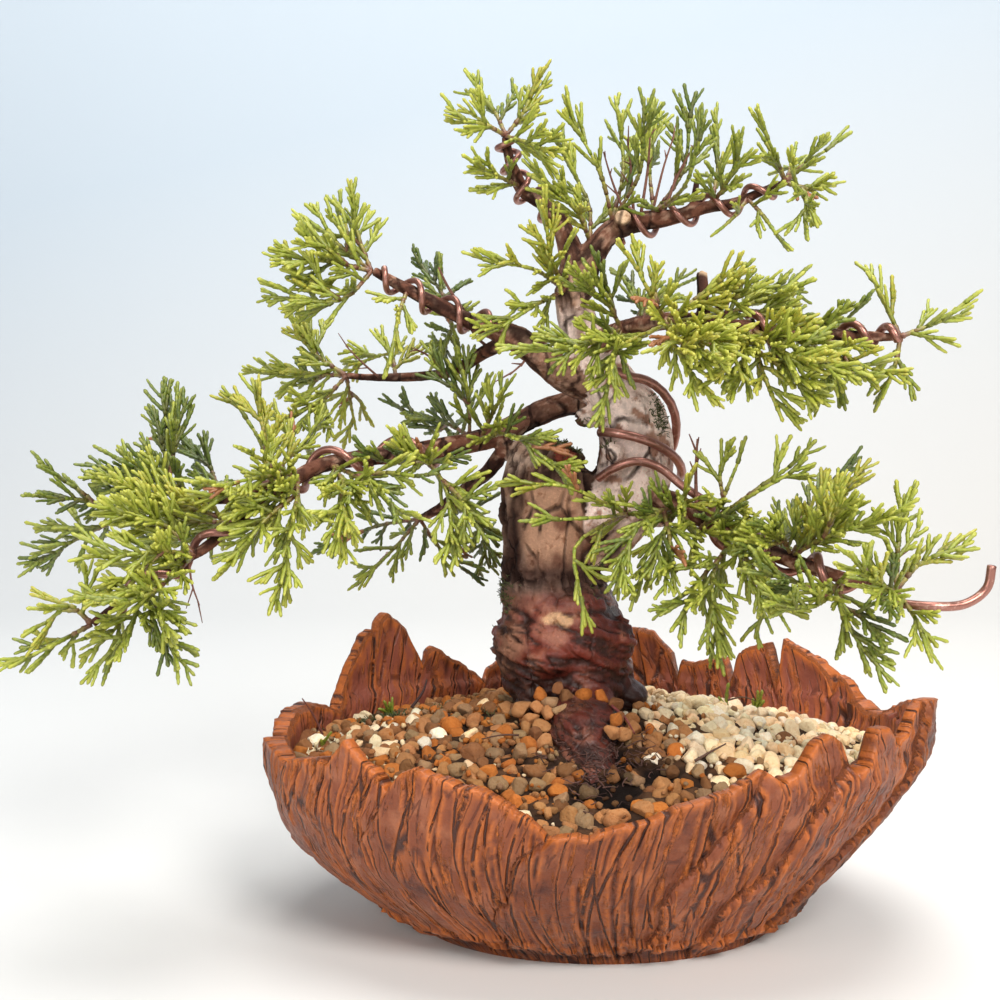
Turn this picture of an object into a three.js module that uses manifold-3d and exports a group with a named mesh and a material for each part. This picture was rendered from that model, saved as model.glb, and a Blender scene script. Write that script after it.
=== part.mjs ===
// A juniper bonsai in a torn-rim bowl: millimetres, +Z up, origin at the centre of the bowl's flat underside,
// +X to the right of the front view and +Y away from it. The bowl, the soil, the wood with all its branches,
// each training wire and each leafy stem is one closed solid. Neighbours keep CLEARANCE between them.
import * as THREE from 'three';
import Module from 'manifold-3d';

const wasm = await Module();
wasm.setup();

// ---------------------------------------------------------------- driving dimensions
const CLEARANCE = 0.3;

const FOOT_RADIUS = 46;
const BELLY_RADIUS = 84;
const BELLY_HEIGHT = 50;
const BELLY_POWER = 1.8;
const DEPTH_RATIO = 0.81;
const BELLY_SHIFT = -4.5;
const BELLY_SHIFT_TOP = 46;
const RIM_LEAN = 0.12;
const WALL_AT_RIM = 2.8;
const WALL_AT_BELLY = 4.4;
const WALL_AT_FLOOR = 7;
const FLOOR_HEIGHT = 7;
const RIM_BEVEL = 0.8;
const MAX_COLUMN_STEP = 3.6;
const OUTER_ROWS = [0, 0.16, 0.42, 0.74, 1];
const INNER_HEIGHTS = [42, 23, FLOOR_HEIGHT];
const GROOVE_DEPTH = 0.55;
const GROOVE_LEAN = 18;
const LAP_DEPTH = 2.2;
const LAP_SWEEP = 16;
const DRAIN_HOLES = 3;
const DRAIN_RADIUS = 4;
const DRAIN_CIRCLE = 24;
const DRAIN_SIDES = 12;

// Torn rim: the angle around the bowl from +X in degrees, and the height of the edge there.
const RIM = [
  [5, 54], [10, 52], [14, 48.5], [20, 48], [25, 50.5], [29, 54.5], [31, 55.5], [32.2, 50.5], [34, 55],
  [38, 59], [43, 61.5], [46.4, 63.5], [47.2, 51], [48.2, 63], [52, 62], [55.4, 60.5], [57, 57], [57.8, 49],
  [58.8, 56.5], [63, 56], [69, 55], [70.2, 50], [71.2, 57], [75.4, 63.5], [80, 64], [86, 61], [90, 54],
  [93, 60], [98, 62.5], [104, 58], [108, 55], [110.2, 52.5], [111.4, 49], [113, 51.5], [116, 54.5],
  [119.5, 58], [122.5, 60], [124.2, 58.5], [125, 54], [126, 58], [128.5, 65.5], [131, 69], [133, 70.8],
  [135.4, 68.5], [136.2, 60.5], [137.2, 67], [140, 64.5], [144, 58.5], [148, 50.5], [151, 46], [155, 48.5],
  [160, 50.2], [169, 50.4], [175, 48.5], [182, 46.5], [191, 47.7], [198, 46.2], [204, 45], [208, 47.5],
  [217, 49.7], [220, 49.2], [224.6, 55.8], [228, 51.5], [233.4, 44.8], [236.4, 50], [239, 51.6], [245, 49],
  [252.6, 46.4], [257.7, 41.6], [261.6, 37.6], [268, 38.4], [274, 41], [280, 44.4], [285, 46.2],
  [290, 48.7], [293.4, 52.2], [296.6, 49.3], [299.4, 51.4], [302.6, 56.8], [305, 59.4], [308, 56.8],
  [311.4, 48.8], [314.4, 51], [316.4, 57.8], [318.8, 58.2], [321.6, 54.6], [323.4, 51.8], [326.6, 55],
  [330.6, 59.6], [335.4, 61], [342, 60], [350, 58], [358, 56.2],
];

// Angles at the rim where one torn clay sheet laps over the next.
const SEAMS = [14, 32.2, 47.2, 57.8, 70.2, 90, 111.4, 125, 151, 182, 204, 233.4, 261.6, 293.4, 311.4, 335.4];

const SOIL_CENTRE = [-2, 8];
const SOIL_CENTRE_HEIGHT = 55;
const SOIL_SIDE_DROP = 10.5;
const SOIL_SIDE_REACH = 73;
const SOIL_BACK_DROP = 5;
const SOIL_BACK_REACH = 44;
const SOIL_FRONT_DROP = 19;
const SOIL_FRONT_REACH = 68;
const SOIL_SIDE_POWER = 1.4;
const SOIL_BACK_POWER = 1.3;
const SOIL_FRONT_POWER = 1.25;
const SOIL_RIDGE_X = -5;
const SOIL_RIDGE_WIDTH = 28;
const SOIL_RIDGE_SHARE = 0.45;
const SOIL_COLUMNS = 30;
const SOIL_SEED = 11;
const PEBBLE_PITCH = 8.1;
const PEBBLE_RISE = 2.1;
const PEBBLE_LEAST = 0.4;
const PEBBLE_GAP = 0.5;
const PEBBLE_JITTER = 1.1;

// Each limb is [x, y, z, radius] along its middle; `sides` and `rings` set how finely it is faceted.
const LIMBS = {
  lowerTrunk: { sides: 12, rings: 13, lobes: 0.06, path: [
    [-4, 14, 29, 12.5], [-4.5, 14, 42, 14.8], [-4.5, 14, 53, 16.2], [-6.5, 14, 62.5, 18.3],
    [-8, 14, 70.5, 19.5], [-9.5, 14, 78, 16.8], [-11.5, 14, 83.5, 13.6], [-11.5, 14, 91.5, 13.5],
    [-11.5, 14, 101, 13.8], [-11.5, 14, 110, 13.9], [-10.5, 14, 117, 11.8], [-8.5, 14, 121, 7.6]] },
  loop: { sides: 9, rings: 11, lobes: 0.06, path: [
    [-7, 14, 90.5, 8.7], [1.5, 13, 99, 10.8], [8.5, 11, 107, 11.2], [11, 10, 117.5, 10.4],
    [9.5, 10, 127, 9.9], [4.5, 11, 134.5, 8.3], [0.5, 12, 142.5, 6.8], [-3, 13, 149.5, 5.9],
    [-5, 14, 157, 5.2], [-6, 14, 162, 5]] },
  leaderRight: { sides: 5, rings: 10, lobes: 0.03, path: [
    [-5, 14, 159.5, 4.7], [-1.5, 14, 167.5, 4.2], [2.5, 14, 174, 3.5], [7, 14, 177.5, 3.4],
    [14, 13, 179, 2.9], [21, 12, 180, 2.3], [28, 11, 182, 1.9], [36, 10, 183, 1.7], [43, 9, 186, 1.4],
    [48.5, 9, 188, 1.2]] },
  leaderLeft: { sides: 5, rings: 8, lobes: 0.03, path: [
    [-6, 14, 160.5, 4.4], [-5.5, 15, 168.5, 3.7], [-8.5, 16, 178, 2.9], [-13, 16, 183.5, 2.3],
    [-18.5, 15, 187, 2.1], [-21, 13, 192, 1.8], [-22.5, 12, 196.5, 1.5], [-23, 11, 200, 1.3]] },
  leftPrimary: { sides: 7, rings: 8, lobes: 0.05, path: [
    [2.5, 11, 135.5, 5.5], [-6, 10, 138, 4.9], [-13.5, 8, 143, 4.4], [-20, 6, 148, 3.8],
    [-26, 6, 150.5, 2.8], [-32.5, 5, 153, 2.4], [-41, 3, 157, 2.2], [-49, 1, 161, 1.8],
    [-56.5, 0, 165, 1.4]] },
  leftMiddle: { sides: 5, rings: 6, lobes: 0.03, path: [
    [-21.5, 8, 148, 2.6], [-28.5, 14, 145, 2.1], [-36, 20, 140.5, 1.7], [-44, 26, 139, 1.6],
    [-52, 30, 138.5, 1.5], [-61, 33, 138.5, 1.2], [-66.5, 34, 139, 1.1]] },
  leftLow: { sides: 6, rings: 14, lobes: 0.04, path: [
    [3, 18, 131.5, 4.5], [-5.5, 22, 131.5, 3.7], [-13.5, 23, 129, 3.6], [-20.5, 20, 125.5, 3.5],
    [-28, 15, 122.5, 3.2], [-38.5, 9, 120.5, 2.9], [-49, 3, 119, 2.6], [-60, -3, 118, 2.4],
    [-70, -8, 116, 2.2], [-78.5, -13, 111, 2], [-87.5, -18, 104.5, 1.7], [-95, -23, 97.5, 1.6],
    [-104, -27, 92.5, 1.4], [-113, -31, 86, 1.3], [-120, -34, 80.5, 1.2]] },
  leftLowBack: { sides: 5, rings: 6, lobes: 0.03, path: [
    [-78, -12, 111.5, 1.7], [-86.5, -8, 108.5, 1.5], [-96, -3, 107.5, 1.4], [-106, 1, 106.5, 1.3],
    [-115.5, 4, 104, 1.2], [-123, 6, 102, 1]] },
  lowerBack: { sides: 6, rings: 6, lobes: 0.05, path: [
    [-17, 12, 119.5, 3], [-22.5, 16, 119.5, 2.6], [-28, 22, 113, 2.3], [-35, 28, 107.5, 1.9],
    [-40.5, 33, 103, 1.7], [-46.5, 37, 99.5, 1.3]] },
  rightMiddle: { sides: 6, rings: 8, lobes: 0.04, path: [
    [-1, 12, 145.5, 3.9], [5.5, 2, 149.5, 3], [12.5, -8, 151.5, 2.5], [21.5, -15, 152, 2.2],
    [33, -18, 150.5, 2.1], [45, -18, 149, 1.9], [56.5, -17, 148.5, 1.7], [66, -16, 148, 1.5],
    [72.5, -16, 148, 1.1]] },
  rightLow: { sides: 6, rings: 7, lobes: 0.04, path: [
    [12.5, 8, 108, 4.4], [18, 0, 107, 3.3], [25.5, -8, 103.5, 2.7], [33.5, -16, 99.5, 2.4],
    [42.5, -23, 95.5, 2.2], [51, -30, 92.5, 1.9], [59.5, -36, 90.5, 1.5], [66.5, -40, 89, 1.2]] },
  surfaceRoot: { sides: 8, rings: 6, lobes: 0.08, path: [
    [-1.5, 7, 55, 7.8], [-3.5, -4, 50, 10.4], [-3.5, -13, 46, 10.2], [-2, -24, 41, 6.8],
    [-1, -34, 34, 4]] },
};

// Across a limb the outline has LOBE_COUNT low lobes, which turn a little from ring to ring.
const LOBE_COUNT = 3;
const LOBE_DRIFT = 0.9;

// Short cut stubs left by pruning: [start, end, radius at the start, radius at the end].
const STUB_SIDES = 6;
const STUBS = [
  [[-9, 8, 116], [-8, -2, 119], 4.6, 3.6],
  [[25, -16, 151.5], [25, -10, 164], 1.8, 1.5],
  [[7, 12, 178], [7, 7, 179.5], 2.4, 2.1],
  [[25, 11.5, 181], [26.5, 12, 190], 1.3, 0.9],
];

// A training wire winds round one limb between two places on it (0 at the limb's start, 1 at its end).
const WIRES = {
  wire_loop_high: { limb: 'loop', from: 0.45, to: 0.3, turns: 0.4, start: 218, radius: 1.2 },
  wire_loop_outer: { limb: 'loop', from: 0.6, to: 0.34, turns: 0.3, start: 290, radius: 1.2 },
  wire_leader_left: { limb: 'leaderLeft', from: 0.34, to: 0.97, turns: 3.6, start: 90, radius: 0.8 },
  wire_leader_right: { limb: 'leaderRight', from: 0.3, to: 0.97, turns: 4.2, start: 30, radius: 0.8 },
  wire_left_high: { limb: 'leftPrimary', from: 0.52, to: 0.97, turns: 3.2, start: 250, radius: 0.8 },
  wire_left_low: { limb: 'leftLow', from: 0.36, to: 0.98, turns: 5.4, start: 120, radius: 1 },
  wire_right_middle: { limb: 'rightMiddle', from: 0.52, to: 0.98, turns: 3.4, start: 150, radius: 1 },
  wire_right_low: { limb: 'rightLow', from: 0.3, to: 0.98, turns: 3.6, start: 160, radius: 1.1,
    lead: [[0.6, 1.6, 112.6], [4, -1.2, 115.2], [10, -3, 117.2], [16, -2.6, 115.4], [21.5, -4.2, 111]],
    tail: [[74, -44, 86], [82, -43, 86.5], [87, -42, 90], [88, -42, 95]] },
};
const WIRE_SIDES = 4;
const WIRE_STEPS_PER_TURN = 7;
const WIRE_SLACK = 0.15;

// Each leafy stem forks from one foot at the bark into spines, each given by the points it runs on through.
const LEAFY_STEMS = {
  left_low_tip: { foot: [-121.5, -35, 79.5], spines: [
    [[-126.5, -37, 77], [-132.5, -39, 74]],
    [[-124.5, -36, 85], [-129.5, -38, 81.5]],
  ] },
  left_low_hanging: { foot: [-107, -32, 88.5], spines: [
    [[-103.5, -38, 82], [-99, -42, 75]],
    [[-110.5, -36, 80.5], [-114.5, -38, 75]],
  ] },
  left_low_front: { foot: [-96.5, -28, 96], spines: [
    [[-103, -38, 98], [-113, -46, 97.5]],
    [[-104.5, -42, 89], [-112.5, -48, 88]],
  ] },
  left_low_side: { foot: [-92, -14, 103], spines: [
    [[-101.5, 2, 99], [-113.5, 12, 96]],
  ] },
  left_back_tip: { foot: [-125.5, 6, 101], spines: [
    [[-133.5, 8, 97], [-143.5, 10, 91]],
    [[-131, 4, 107], [-136, -2, 107.5]],
  ] },
  left_back_high: { foot: [-106.5, 2, 107.5], spines: [
    [[-117, 4, 113.5], [-131, 4, 113.5]],
    [[-112, 10, 119], [-112.5, 16, 129.5]],
  ] },
  left_back_rear: { foot: [-94, -1, 109], spines: [
    [[-102.5, 18, 116], [-115, 32, 121.5]],
  ] },
  left_centre_front: { foot: [-73.5, -14, 114.5], spines: [
    [[-81, -26, 114.5], [-89.5, -36, 113]],
    [[-73, -26, 108.5], [-74, -34, 99], [-75.5, -38, 89.5]],
  ] },
  left_centre_high: { foot: [-80.5, -6, 112.5], spines: [
    [[-85.5, 4, 121], [-92.5, 10, 131]],
    [[-79.5, 14, 122], [-84.5, 24, 126]],
  ] },
  left_centre_right: { foot: [-65, -10, 116], spines: [
    [[-61.5, -24, 111], [-63, -32, 104]],
    [[-57, -22, 113], [-48, -32, 107]],
  ] },
  left_near_front: { foot: [-44, 0, 118.5], spines: [
    [[-42, -12, 117], [-48, -20, 121]],
    [[-38, -12, 111.5], [-36, -18, 98.5]],
  ] },
  left_near_high: { foot: [-32.5, 14, 123], spines: [
    [[-32.5, 12, 131.5], [-34.5, 12, 140]],
    [[-41, 28, 127], [-52, 38, 129.5]],
  ] },
  left_near_right: { foot: [-27.5, 8, 124.5], spines: [
    [[-24.5, -4, 132.5], [-21.5, -12, 134.5]],
    [[-20.5, -8, 123.5], [-10, -14, 115.5]],
  ] },
  lower_back: { foot: [-49, 39, 98], spines: [
    [[-53.5, 42, 91.5], [-61, 46, 83.5]],
    [[-42.5, 44, 91.5], [-35.5, 48, 84.5]],
    [[-61, 48, 96], [-71.5, 54, 90.5]],
  ] },
  lower_back_side: { foot: [-37.5, 34, 105], spines: [
    [[-30.5, 42, 97.5], [-28.5, 50, 87.5]],
  ] },
  left_middle_tip: { foot: [-69, 35, 139], spines: [
    [[-76, 36, 145.5], [-81, 38, 152.5]],
    [[-79, 40, 139.5], [-88, 42, 139.5]],
    [[-73, 32, 132], [-79.5, 30, 126]],
    [[-66, 40, 131], [-65, 44, 124]],
  ] },
  left_middle_side: { foot: [-52.5, 32, 139.5], spines: [
    [[-55, 40, 145], [-63.5, 48, 143]],
  ] },
  left_high_tip: { foot: [-59, 0, 165], spines: [
    [[-67.5, -6, 167], [-76.5, -10, 166.5]],
    [[-66.5, 2, 173], [-70, 4, 179]],
    [[-63.5, -6, 157.5], [-76.5, -6, 157.5]],
    [[-60.5, 4, 174], [-62.5, 6, 183.5]],
  ] },
  left_high_side: { foot: [-48, 1, 160], spines: [
    [[-49.5, -8, 154], [-50.5, -12, 147]],
  ] },
  left_high_rear: { foot: [-37.5, 6, 155.5], spines: [
    [[-41, 18, 162.5], [-45, 26, 167]],
    [[-37.5, 20, 150], [-40.5, 28, 144.5]],
  ] },
  top_left: { foot: [-23, 11, 201], spines: [
    [[-28.5, 6, 202.5], [-33.5, 2, 202.5]],
    [[-18.5, 12, 206.5], [-15.5, 14, 213]],
    [[-26.5, 18, 208.5], [-30.5, 22, 211.5]],
    [[-18.5, 2, 197.5], [-13.5, -4, 194.5]],
  ] },
  top_left_low: { foot: [-19.5, 14, 188], spines: [
    [[-24.5, 4, 189], [-28.5, -4, 190]],
  ] },
  crown_left: { foot: [0.5, 14, 172.5], spines: [
    [[-5, 4, 180.5], [-12.5, -2, 186.5]],
    [[-1, 18, 183], [-7, 24, 196]],
  ] },
  crown_middle: { foot: [5.5, 14, 177.5], spines: [
    [[1.5, 8, 189.5], [-5, 4, 201]],
    [[8, 20, 193], [7, 26, 207]],
    [[11, 6, 190], [11, -5, 201]],
  ] },
  crown_right: { foot: [15.5, 13, 179.5], spines: [
    [[15, 22, 194.5], [17, 32, 209]],
    [[23, 14, 192], [24.5, 12, 205]],
    [[21.5, -6, 186], [23.5, -16, 195]],
  ] },
  crown_far: { foot: [30, 11, 182.5], spines: [
    [[32.5, 18, 192.5], [33, 24, 204]],
    [[32.5, 2, 187], [34.5, -6, 192.5]],
  ] },
  top_right: { foot: [50, 9, 188.5], spines: [
    [[53.5, 8, 193], [58.5, 8, 196]],
    [[44.5, 6, 195.5], [40.5, 4, 201]],
    [[52, 0, 185], [51, -6, 179]],
    [[52.5, 20, 195.5], [54.5, 26, 201]],
  ] },
  top_right_low: { foot: [39, 9, 184], spines: [
    [[42, 2, 179], [44.5, -4, 173.5]],
    [[34, 3, 178], [29, 3, 174]],
  ] },
  middle_front: { foot: [-10, 6, 160.5], spines: [
    [[-16.5, -2, 165.5], [-26, -8, 166.5]],
    [[-12, -2.5, 169], [-13, -6, 177]],
    [[-17, -2, 155.5], [-24.5, -6, 150.5]],
  ] },
  right_inner: { foot: [4.5, -3, 150.5], spines: [
    [[-1, -16, 147], [-12, -24, 143.5]],
    [[3, -16, 141.5], [1, -22, 134.5]],
    [[1.5, -10, 157], [-2.5, -14, 159.5]],
  ] },
  right_front: { foot: [15.5, -13, 153], spines: [
    [[11, -20, 159], [8, -22, 164.5]],
    [[16.5, -28, 145.5], [21.5, -36, 136.5]],
    [[22.5, -30, 149], [25.5, -40, 144.5]],
  ] },
  right_rear: { foot: [11, 0, 152], spines: [
    [[18, 20, 160], [30, 32, 166]],
    [[13, 24, 159], [10, 38, 166.5]],
  ] },
  right_middle_high: { foot: [28, -14, 152], spines: [
    [[30.5, -12, 159.5], [34.5, -10, 168]],
    [[39, -6, 157.5], [50.5, 2, 162.5]],
  ] },
  right_middle_low: { foot: [36, -21, 149], spines: [
    [[37, -28, 140.5], [41.5, -32, 128]],
    [[43, -34, 143], [49.5, -40, 140.5]],
  ] },
  right_middle_rear: { foot: [46.5, -14, 149.5], spines: [
    [[55, 4, 150], [66, 14, 147]],
  ] },
  right_middle_under: { foot: [54, -19, 147.5], spines: [
    [[56.5, -18, 140], [60, -16, 132]],
  ] },
  right_middle_tip: { foot: [74, -16, 148.5], spines: [
    [[79, -16, 150.5], [82.5, -16, 152]],
    [[70, -14, 154.5], [67.5, -12, 160]],
    [[71, -18, 141], [68, -18, 133]],
  ] },
  right_low_inner: { foot: [19.5, -6, 105.5], spines: [
    [[14, -18, 105.5], [8, -26, 102], [3.5, -30, 92.5]],
    [[15.5, -20, 101.5], [12.5, -26, 94.5]],
  ] },
  right_low_high: { foot: [28.5, -10, 103], spines: [
    [[31, -12, 109.5], [34, -12, 117]],
    [[34, -24, 109], [43.5, -30, 115.5]],
  ] },
  right_low_hanging: { foot: [31, -18, 98.5], spines: [
    [[26, -28, 91], [26.5, -34, 76.5]],
    [[36, -36, 91], [42, -42, 80]],
  ] },
  right_low_middle: { foot: [45.5, -24, 95.5], spines: [
    [[50, -26, 103.5], [58, -26, 112]],
    [[52, -42, 102.5], [60.5, -50, 106]],
  ] },
  right_low_rear: { foot: [43, -16, 96], spines: [
    [[52.5, 4, 99], [65.5, 16, 101]],
  ] },
  right_low_under: { foot: [54, -36, 90.5], spines: [
    [[54, -42, 83.5], [58.5, -46, 76]],
    [[46.5, -50, 87], [38, -58, 88]],
  ] },
  right_low_tip: { foot: [68, -41, 89], spines: [
    [[71.5, -40, 95], [78, -38, 98]],
    [[67.5, -38, 100.5], [69, -34, 109.5]],
    [[69.5, -46, 84], [70.5, -48, 80.5]],
    [[60, -56, 92], [53, -66, 97]],
  ] },
  front_shoot: { foot: [9, -2, 103], spines: [
    [[1, -14, 107.5], [-8.5, -20, 112], [-16, -22, 112.5]],
    [[0, -14, 101.5], [-6.5, -20, 97], [-5, -22, 85.5]],
    [[1, -20, 104.5], [-10.5, -28, 104.5]],
  ] },
};
const SPINE_FOOT_RADIUS = 0.6;
const SPINE_BASE_RADIUS = 1.15;
const SPINE_TIP_RADIUS = 0.75;
const WHORL_STEP = 14.6;
const WHORL_LENGTH = 1.5;
const FIRST_WHORL = 0.7;
const WHORL_TWIST = 0.6;
const BARE_FACET = 3;
const SEAT_STEP = 0.05;
const STEM_SEED = 100;
const SEEDS_PER_STEM = 10;
const NEEDLE_RADIUS = 0.62;
const NEEDLE_BASE_REACH = 0.9;
const NEEDLE_LENGTH = [8, 13];
const NEEDLE_SPREAD = [36, 62];
const NEEDLE_LIFT = 0.35;
const NEEDLE_SWAY = 0.4;
const NEEDLE_TRIES = 5;
const NEEDLE_SHORTEN = 0.08;
const NEEDLE_FREE_FROM = 0.3;
const NEEDLE_LEAST_RISE = 0.4;
const NEEDLE_APART = 1.36;
const SPINE_FLAT = 0.5;

// ---------------------------------------------------------------- materials
const clay = new THREE.MeshStandardMaterial({ color: 0x7c3f28, roughness: 0.45, metalness: 0 });
const gravel = new THREE.MeshStandardMaterial({ color: 0xb98f5a, roughness: 0.95, metalness: 0 });
const bark = new THREE.MeshStandardMaterial({ color: 0x7a5a49, roughness: 0.75, metalness: 0 });
const leaf = new THREE.MeshStandardMaterial({ color: 0x6f9a2c, roughness: 0.6, metalness: 0 });
const anodised = new THREE.MeshStandardMaterial({ color: 0x8a5a4c, roughness: 0.35, metalness: 0.8 });

// ---------------------------------------------------------------- helpers
const radians = (degrees) => (degrees * Math.PI) / 180;
const mix = (a, b, t) => a + (b - a) * t;
const vector = (point) => new THREE.Vector3(point[0], point[1], point[2]);

function seededRandom(seed) {
  let state = seed >>> 0;
  return () => {
    state = (state + 0x6d2b79f5) >>> 0;
    let value = Math.imul(state ^ (state >>> 15), 1 | state);
    value = (value + Math.imul(value ^ (value >>> 7), 61 | value)) ^ value;
    return ((value ^ (value >>> 14)) >>> 0) / 4294967296;
  };
}

function toSolid(geometry) {
  const position = geometry.attributes.position.array;
  const index = geometry.index.array;
  return new wasm.Manifold(new wasm.Mesh({
    numProp: 3,
    vertProperties: new Float32Array(position),
    triVerts: new Uint32Array(index),
  }));
}

function toGeometry(solid) {
  const mesh = solid.getMesh();
  const geometry = new THREE.BufferGeometry();
  geometry.setAttribute('position', new THREE.BufferAttribute(new Float32Array(mesh.vertProperties), 3));
  geometry.setIndex(new THREE.BufferAttribute(new Uint32Array(mesh.triVerts), 1));
  geometry.computeVertexNormals();
  return geometry;
}

function indexedGeometry(points, triangles) {
  const geometry = new THREE.BufferGeometry();
  const flat = new Float32Array(points.length * 3);
  points.forEach((point, i) => point.toArray(flat, i * 3));
  geometry.setAttribute('position', new THREE.BufferAttribute(flat, 3));
  geometry.setIndex(new THREE.BufferAttribute(new Uint32Array(triangles.flat()), 1));
  return geometry;
}

// Skins rows of points that each run once around; the first and last rows are closed with a fan.
function skinRows(rows) {
  const around = rows[0].length;
  const points = rows.flat();
  const triangles = [];
  for (let row = 0; row < rows.length - 1; row += 1) {
    for (let column = 0; column < around; column += 1) {
      const next = (column + 1) % around;
      const a = row * around + column;
      const b = row * around + next;
      const c = a + around;
      const d = b + around;
      triangles.push([a, b, d], [a, d, c]);
    }
  }
  const last = (rows.length - 1) * around;
  for (let column = 1; column < around - 1; column += 1) {
    triangles.push([0, column + 1, column], [last, last + column, last + column + 1]);
  }
  return indexedGeometry(points, triangles);
}

// At each centre of a sweep: the way along it, and two ways across it that turn as little as they can.
function sweepFrames(centres) {
  let across = null;
  return centres.map((centre, i) => {
    const before = centres[Math.max(0, i - 1)];
    const after = centres[Math.min(centres.length - 1, i + 1)];
    const along = after.clone().sub(before).normalize();
    if (across) {
      across = across.clone().addScaledVector(along, -across.dot(along)).normalize();
    } else {
      const guide = Math.abs(along.y) < 0.9 ? new THREE.Vector3(0, 1, 0) : new THREE.Vector3(1, 0, 0);
      across = guide.cross(along).normalize();
    }
    return { along, across, up: along.clone().cross(across) };
  });
}

// A closed sweep along `centres`, with a radius at each and an optional lobed outline.
function sweep(centres, radii, sides, lobes = 0) {
  const frames = sweepFrames(centres);
  const rows = centres.map((centre, i) => {
    const row = [];
    for (let side = 0; side < sides; side += 1) {
      const angle = (side * 2 * Math.PI) / sides;
      const bulge = 1 - lobes + lobes * Math.cos(LOBE_COUNT * angle + i * LOBE_DRIFT);
      row.push(centre.clone()
        .addScaledVector(frames[i].across, Math.cos(angle) * radii[i] * bulge)
        .addScaledVector(frames[i].up, Math.sin(angle) * radii[i] * bulge));
    }
    return row;
  });
  return skinRows(rows);
}

// ---------------------------------------------------------------- the bowl
function rimHeight(degrees) {
  const wrapped = ((degrees % 360) + 360) % 360;
  for (let i = 0; i < RIM.length; i += 1) {
    const [fromAngle, fromHeight] = RIM[i];
    const [toAngle, toHeight] = i + 1 < RIM.length ? RIM[i + 1] : [RIM[0][0] + 360, RIM[0][1]];
    const angle = wrapped < RIM[0][0] ? wrapped + 360 : wrapped;
    if (angle >= fromAngle && angle < toAngle) {
      return mix(fromHeight, toHeight, (angle - fromAngle) / (toAngle - fromAngle));
    }
  }
  return RIM[0][1];
}

function bowlRadius(height) {
  const share = Math.min(height, BELLY_HEIGHT) / BELLY_HEIGHT;
  const swell = 1 - (1 - share) ** BELLY_POWER;
  const lean = Math.max(0, height - BELLY_HEIGHT) * RIM_LEAN;
  return mix(FOOT_RADIUS, BELLY_RADIUS, swell) + lean;
}

function bowlPoint(degrees, height, offset) {
  const radius = bowlRadius(height) + offset;
  const shift = BELLY_SHIFT * Math.sin(Math.PI * Math.min(1, height / BELLY_SHIFT_TOP));
  return new THREE.Vector3(
    shift + radius * Math.cos(radians(degrees)),
    radius * DEPTH_RATIO * Math.sin(radians(degrees)),
    height,
  );
}

// How far a clay sheet stands out where it laps over the next: it thins from one seam to the following one.
function lapDepth(degrees, share) {
  const angle = (((degrees + LAP_SWEEP * (1 - share)) % 360) + 360) % 360;
  for (let i = 0; i < SEAMS.length; i += 1) {
    const from = SEAMS[i];
    const to = i + 1 < SEAMS.length ? SEAMS[i + 1] : SEAMS[0] + 360;
    const here = angle < SEAMS[0] ? angle + 360 : angle;
    if (here >= from && here < to) {
      return LAP_DEPTH * (1 - (here - from) / (to - from));
    }
  }
  return 0;
}

function wallThickness(height) {
  if (height > BELLY_HEIGHT) {
    return WALL_AT_RIM;
  }
  const share = (height - FLOOR_HEIGHT) / (BELLY_HEIGHT - FLOOR_HEIGHT);
  return mix(WALL_AT_FLOOR, WALL_AT_BELLY, Math.min(1, share * 2));
}

function columnAngles() {
  const angles = [];
  RIM.forEach(([from], i) => {
    const to = i + 1 < RIM.length ? RIM[i + 1][0] : RIM[0][0] + 360;
    const parts = Math.ceil((to - from) / MAX_COLUMN_STEP);
    for (let part = 0; part < parts; part += 1) {
      angles.push(mix(from, to, part / parts));
    }
  });
  return angles;
}

// The grooves spread outwards on their way down: where one has got to at a share of the height of the rim.
function leaning(degrees, share) {
  return degrees - GROOVE_LEAN * Math.sin(radians(2 * degrees)) * (1 - share);
}

function bowlGeometry() {
  const angles = columnAngles();
  const outer = OUTER_ROWS.map((share) => angles.map((angle, i) => {
    const here = leaning(angle, share);
    const groove = share > 0 ? GROOVE_DEPTH * (i % 2 === 0 ? 1 : -1) : 0;
    const lap = share > 0 ? lapDepth(here, share) - LAP_DEPTH / 2 : 0;
    return bowlPoint(here, rimHeight(angle) * share, lap + groove);
  }));
  const inner = [Infinity, ...INNER_HEIGHTS].map((level, row) => angles.map((angle) => {
    const top = rimHeight(angle) - RIM_BEVEL;
    const height = Math.min(level, top - row);
    return bowlPoint(angle, height, -wallThickness(height) - LAP_DEPTH / 2);
  }));
  let body = toSolid(skinRows([...outer, ...inner]));
  for (let hole = 0; hole < DRAIN_HOLES; hole += 1) {
    const turn = radians(90 + (hole * 360) / DRAIN_HOLES);
    const drain = new THREE.CylinderGeometry(DRAIN_RADIUS, DRAIN_RADIUS, 4 * FLOOR_HEIGHT, DRAIN_SIDES);
    drain.rotateX(Math.PI / 2);
    drain.translate(DRAIN_CIRCLE * Math.cos(turn), DRAIN_CIRCLE * Math.sin(turn), 0);
    body = body.subtract(toSolid(weld(drain)));
  }
  return toGeometry(body);
}

// Joins the corners that a ready-made solid keeps apart for its normals.
function weld(geometry) {
  const position = geometry.attributes.position;
  const index = geometry.index.array;
  const places = new Map();
  const points = [];
  const renamed = [];
  for (let i = 0; i < position.count; i += 1) {
    const point = new THREE.Vector3().fromBufferAttribute(position, i);
    const key = point.toArray().map((value) => value.toFixed(4)).join(' ');
    if (!places.has(key)) {
      places.set(key, points.length);
      points.push(point);
    }
    renamed.push(places.get(key));
  }
  const triangles = [];
  for (let i = 0; i < index.length; i += 3) {
    const triangle = [renamed[index[i]], renamed[index[i + 1]], renamed[index[i + 2]]];
    if (new Set(triangle).size === 3) {
      triangles.push(triangle);
    }
  }
  return indexedGeometry(points, triangles);
}

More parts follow.
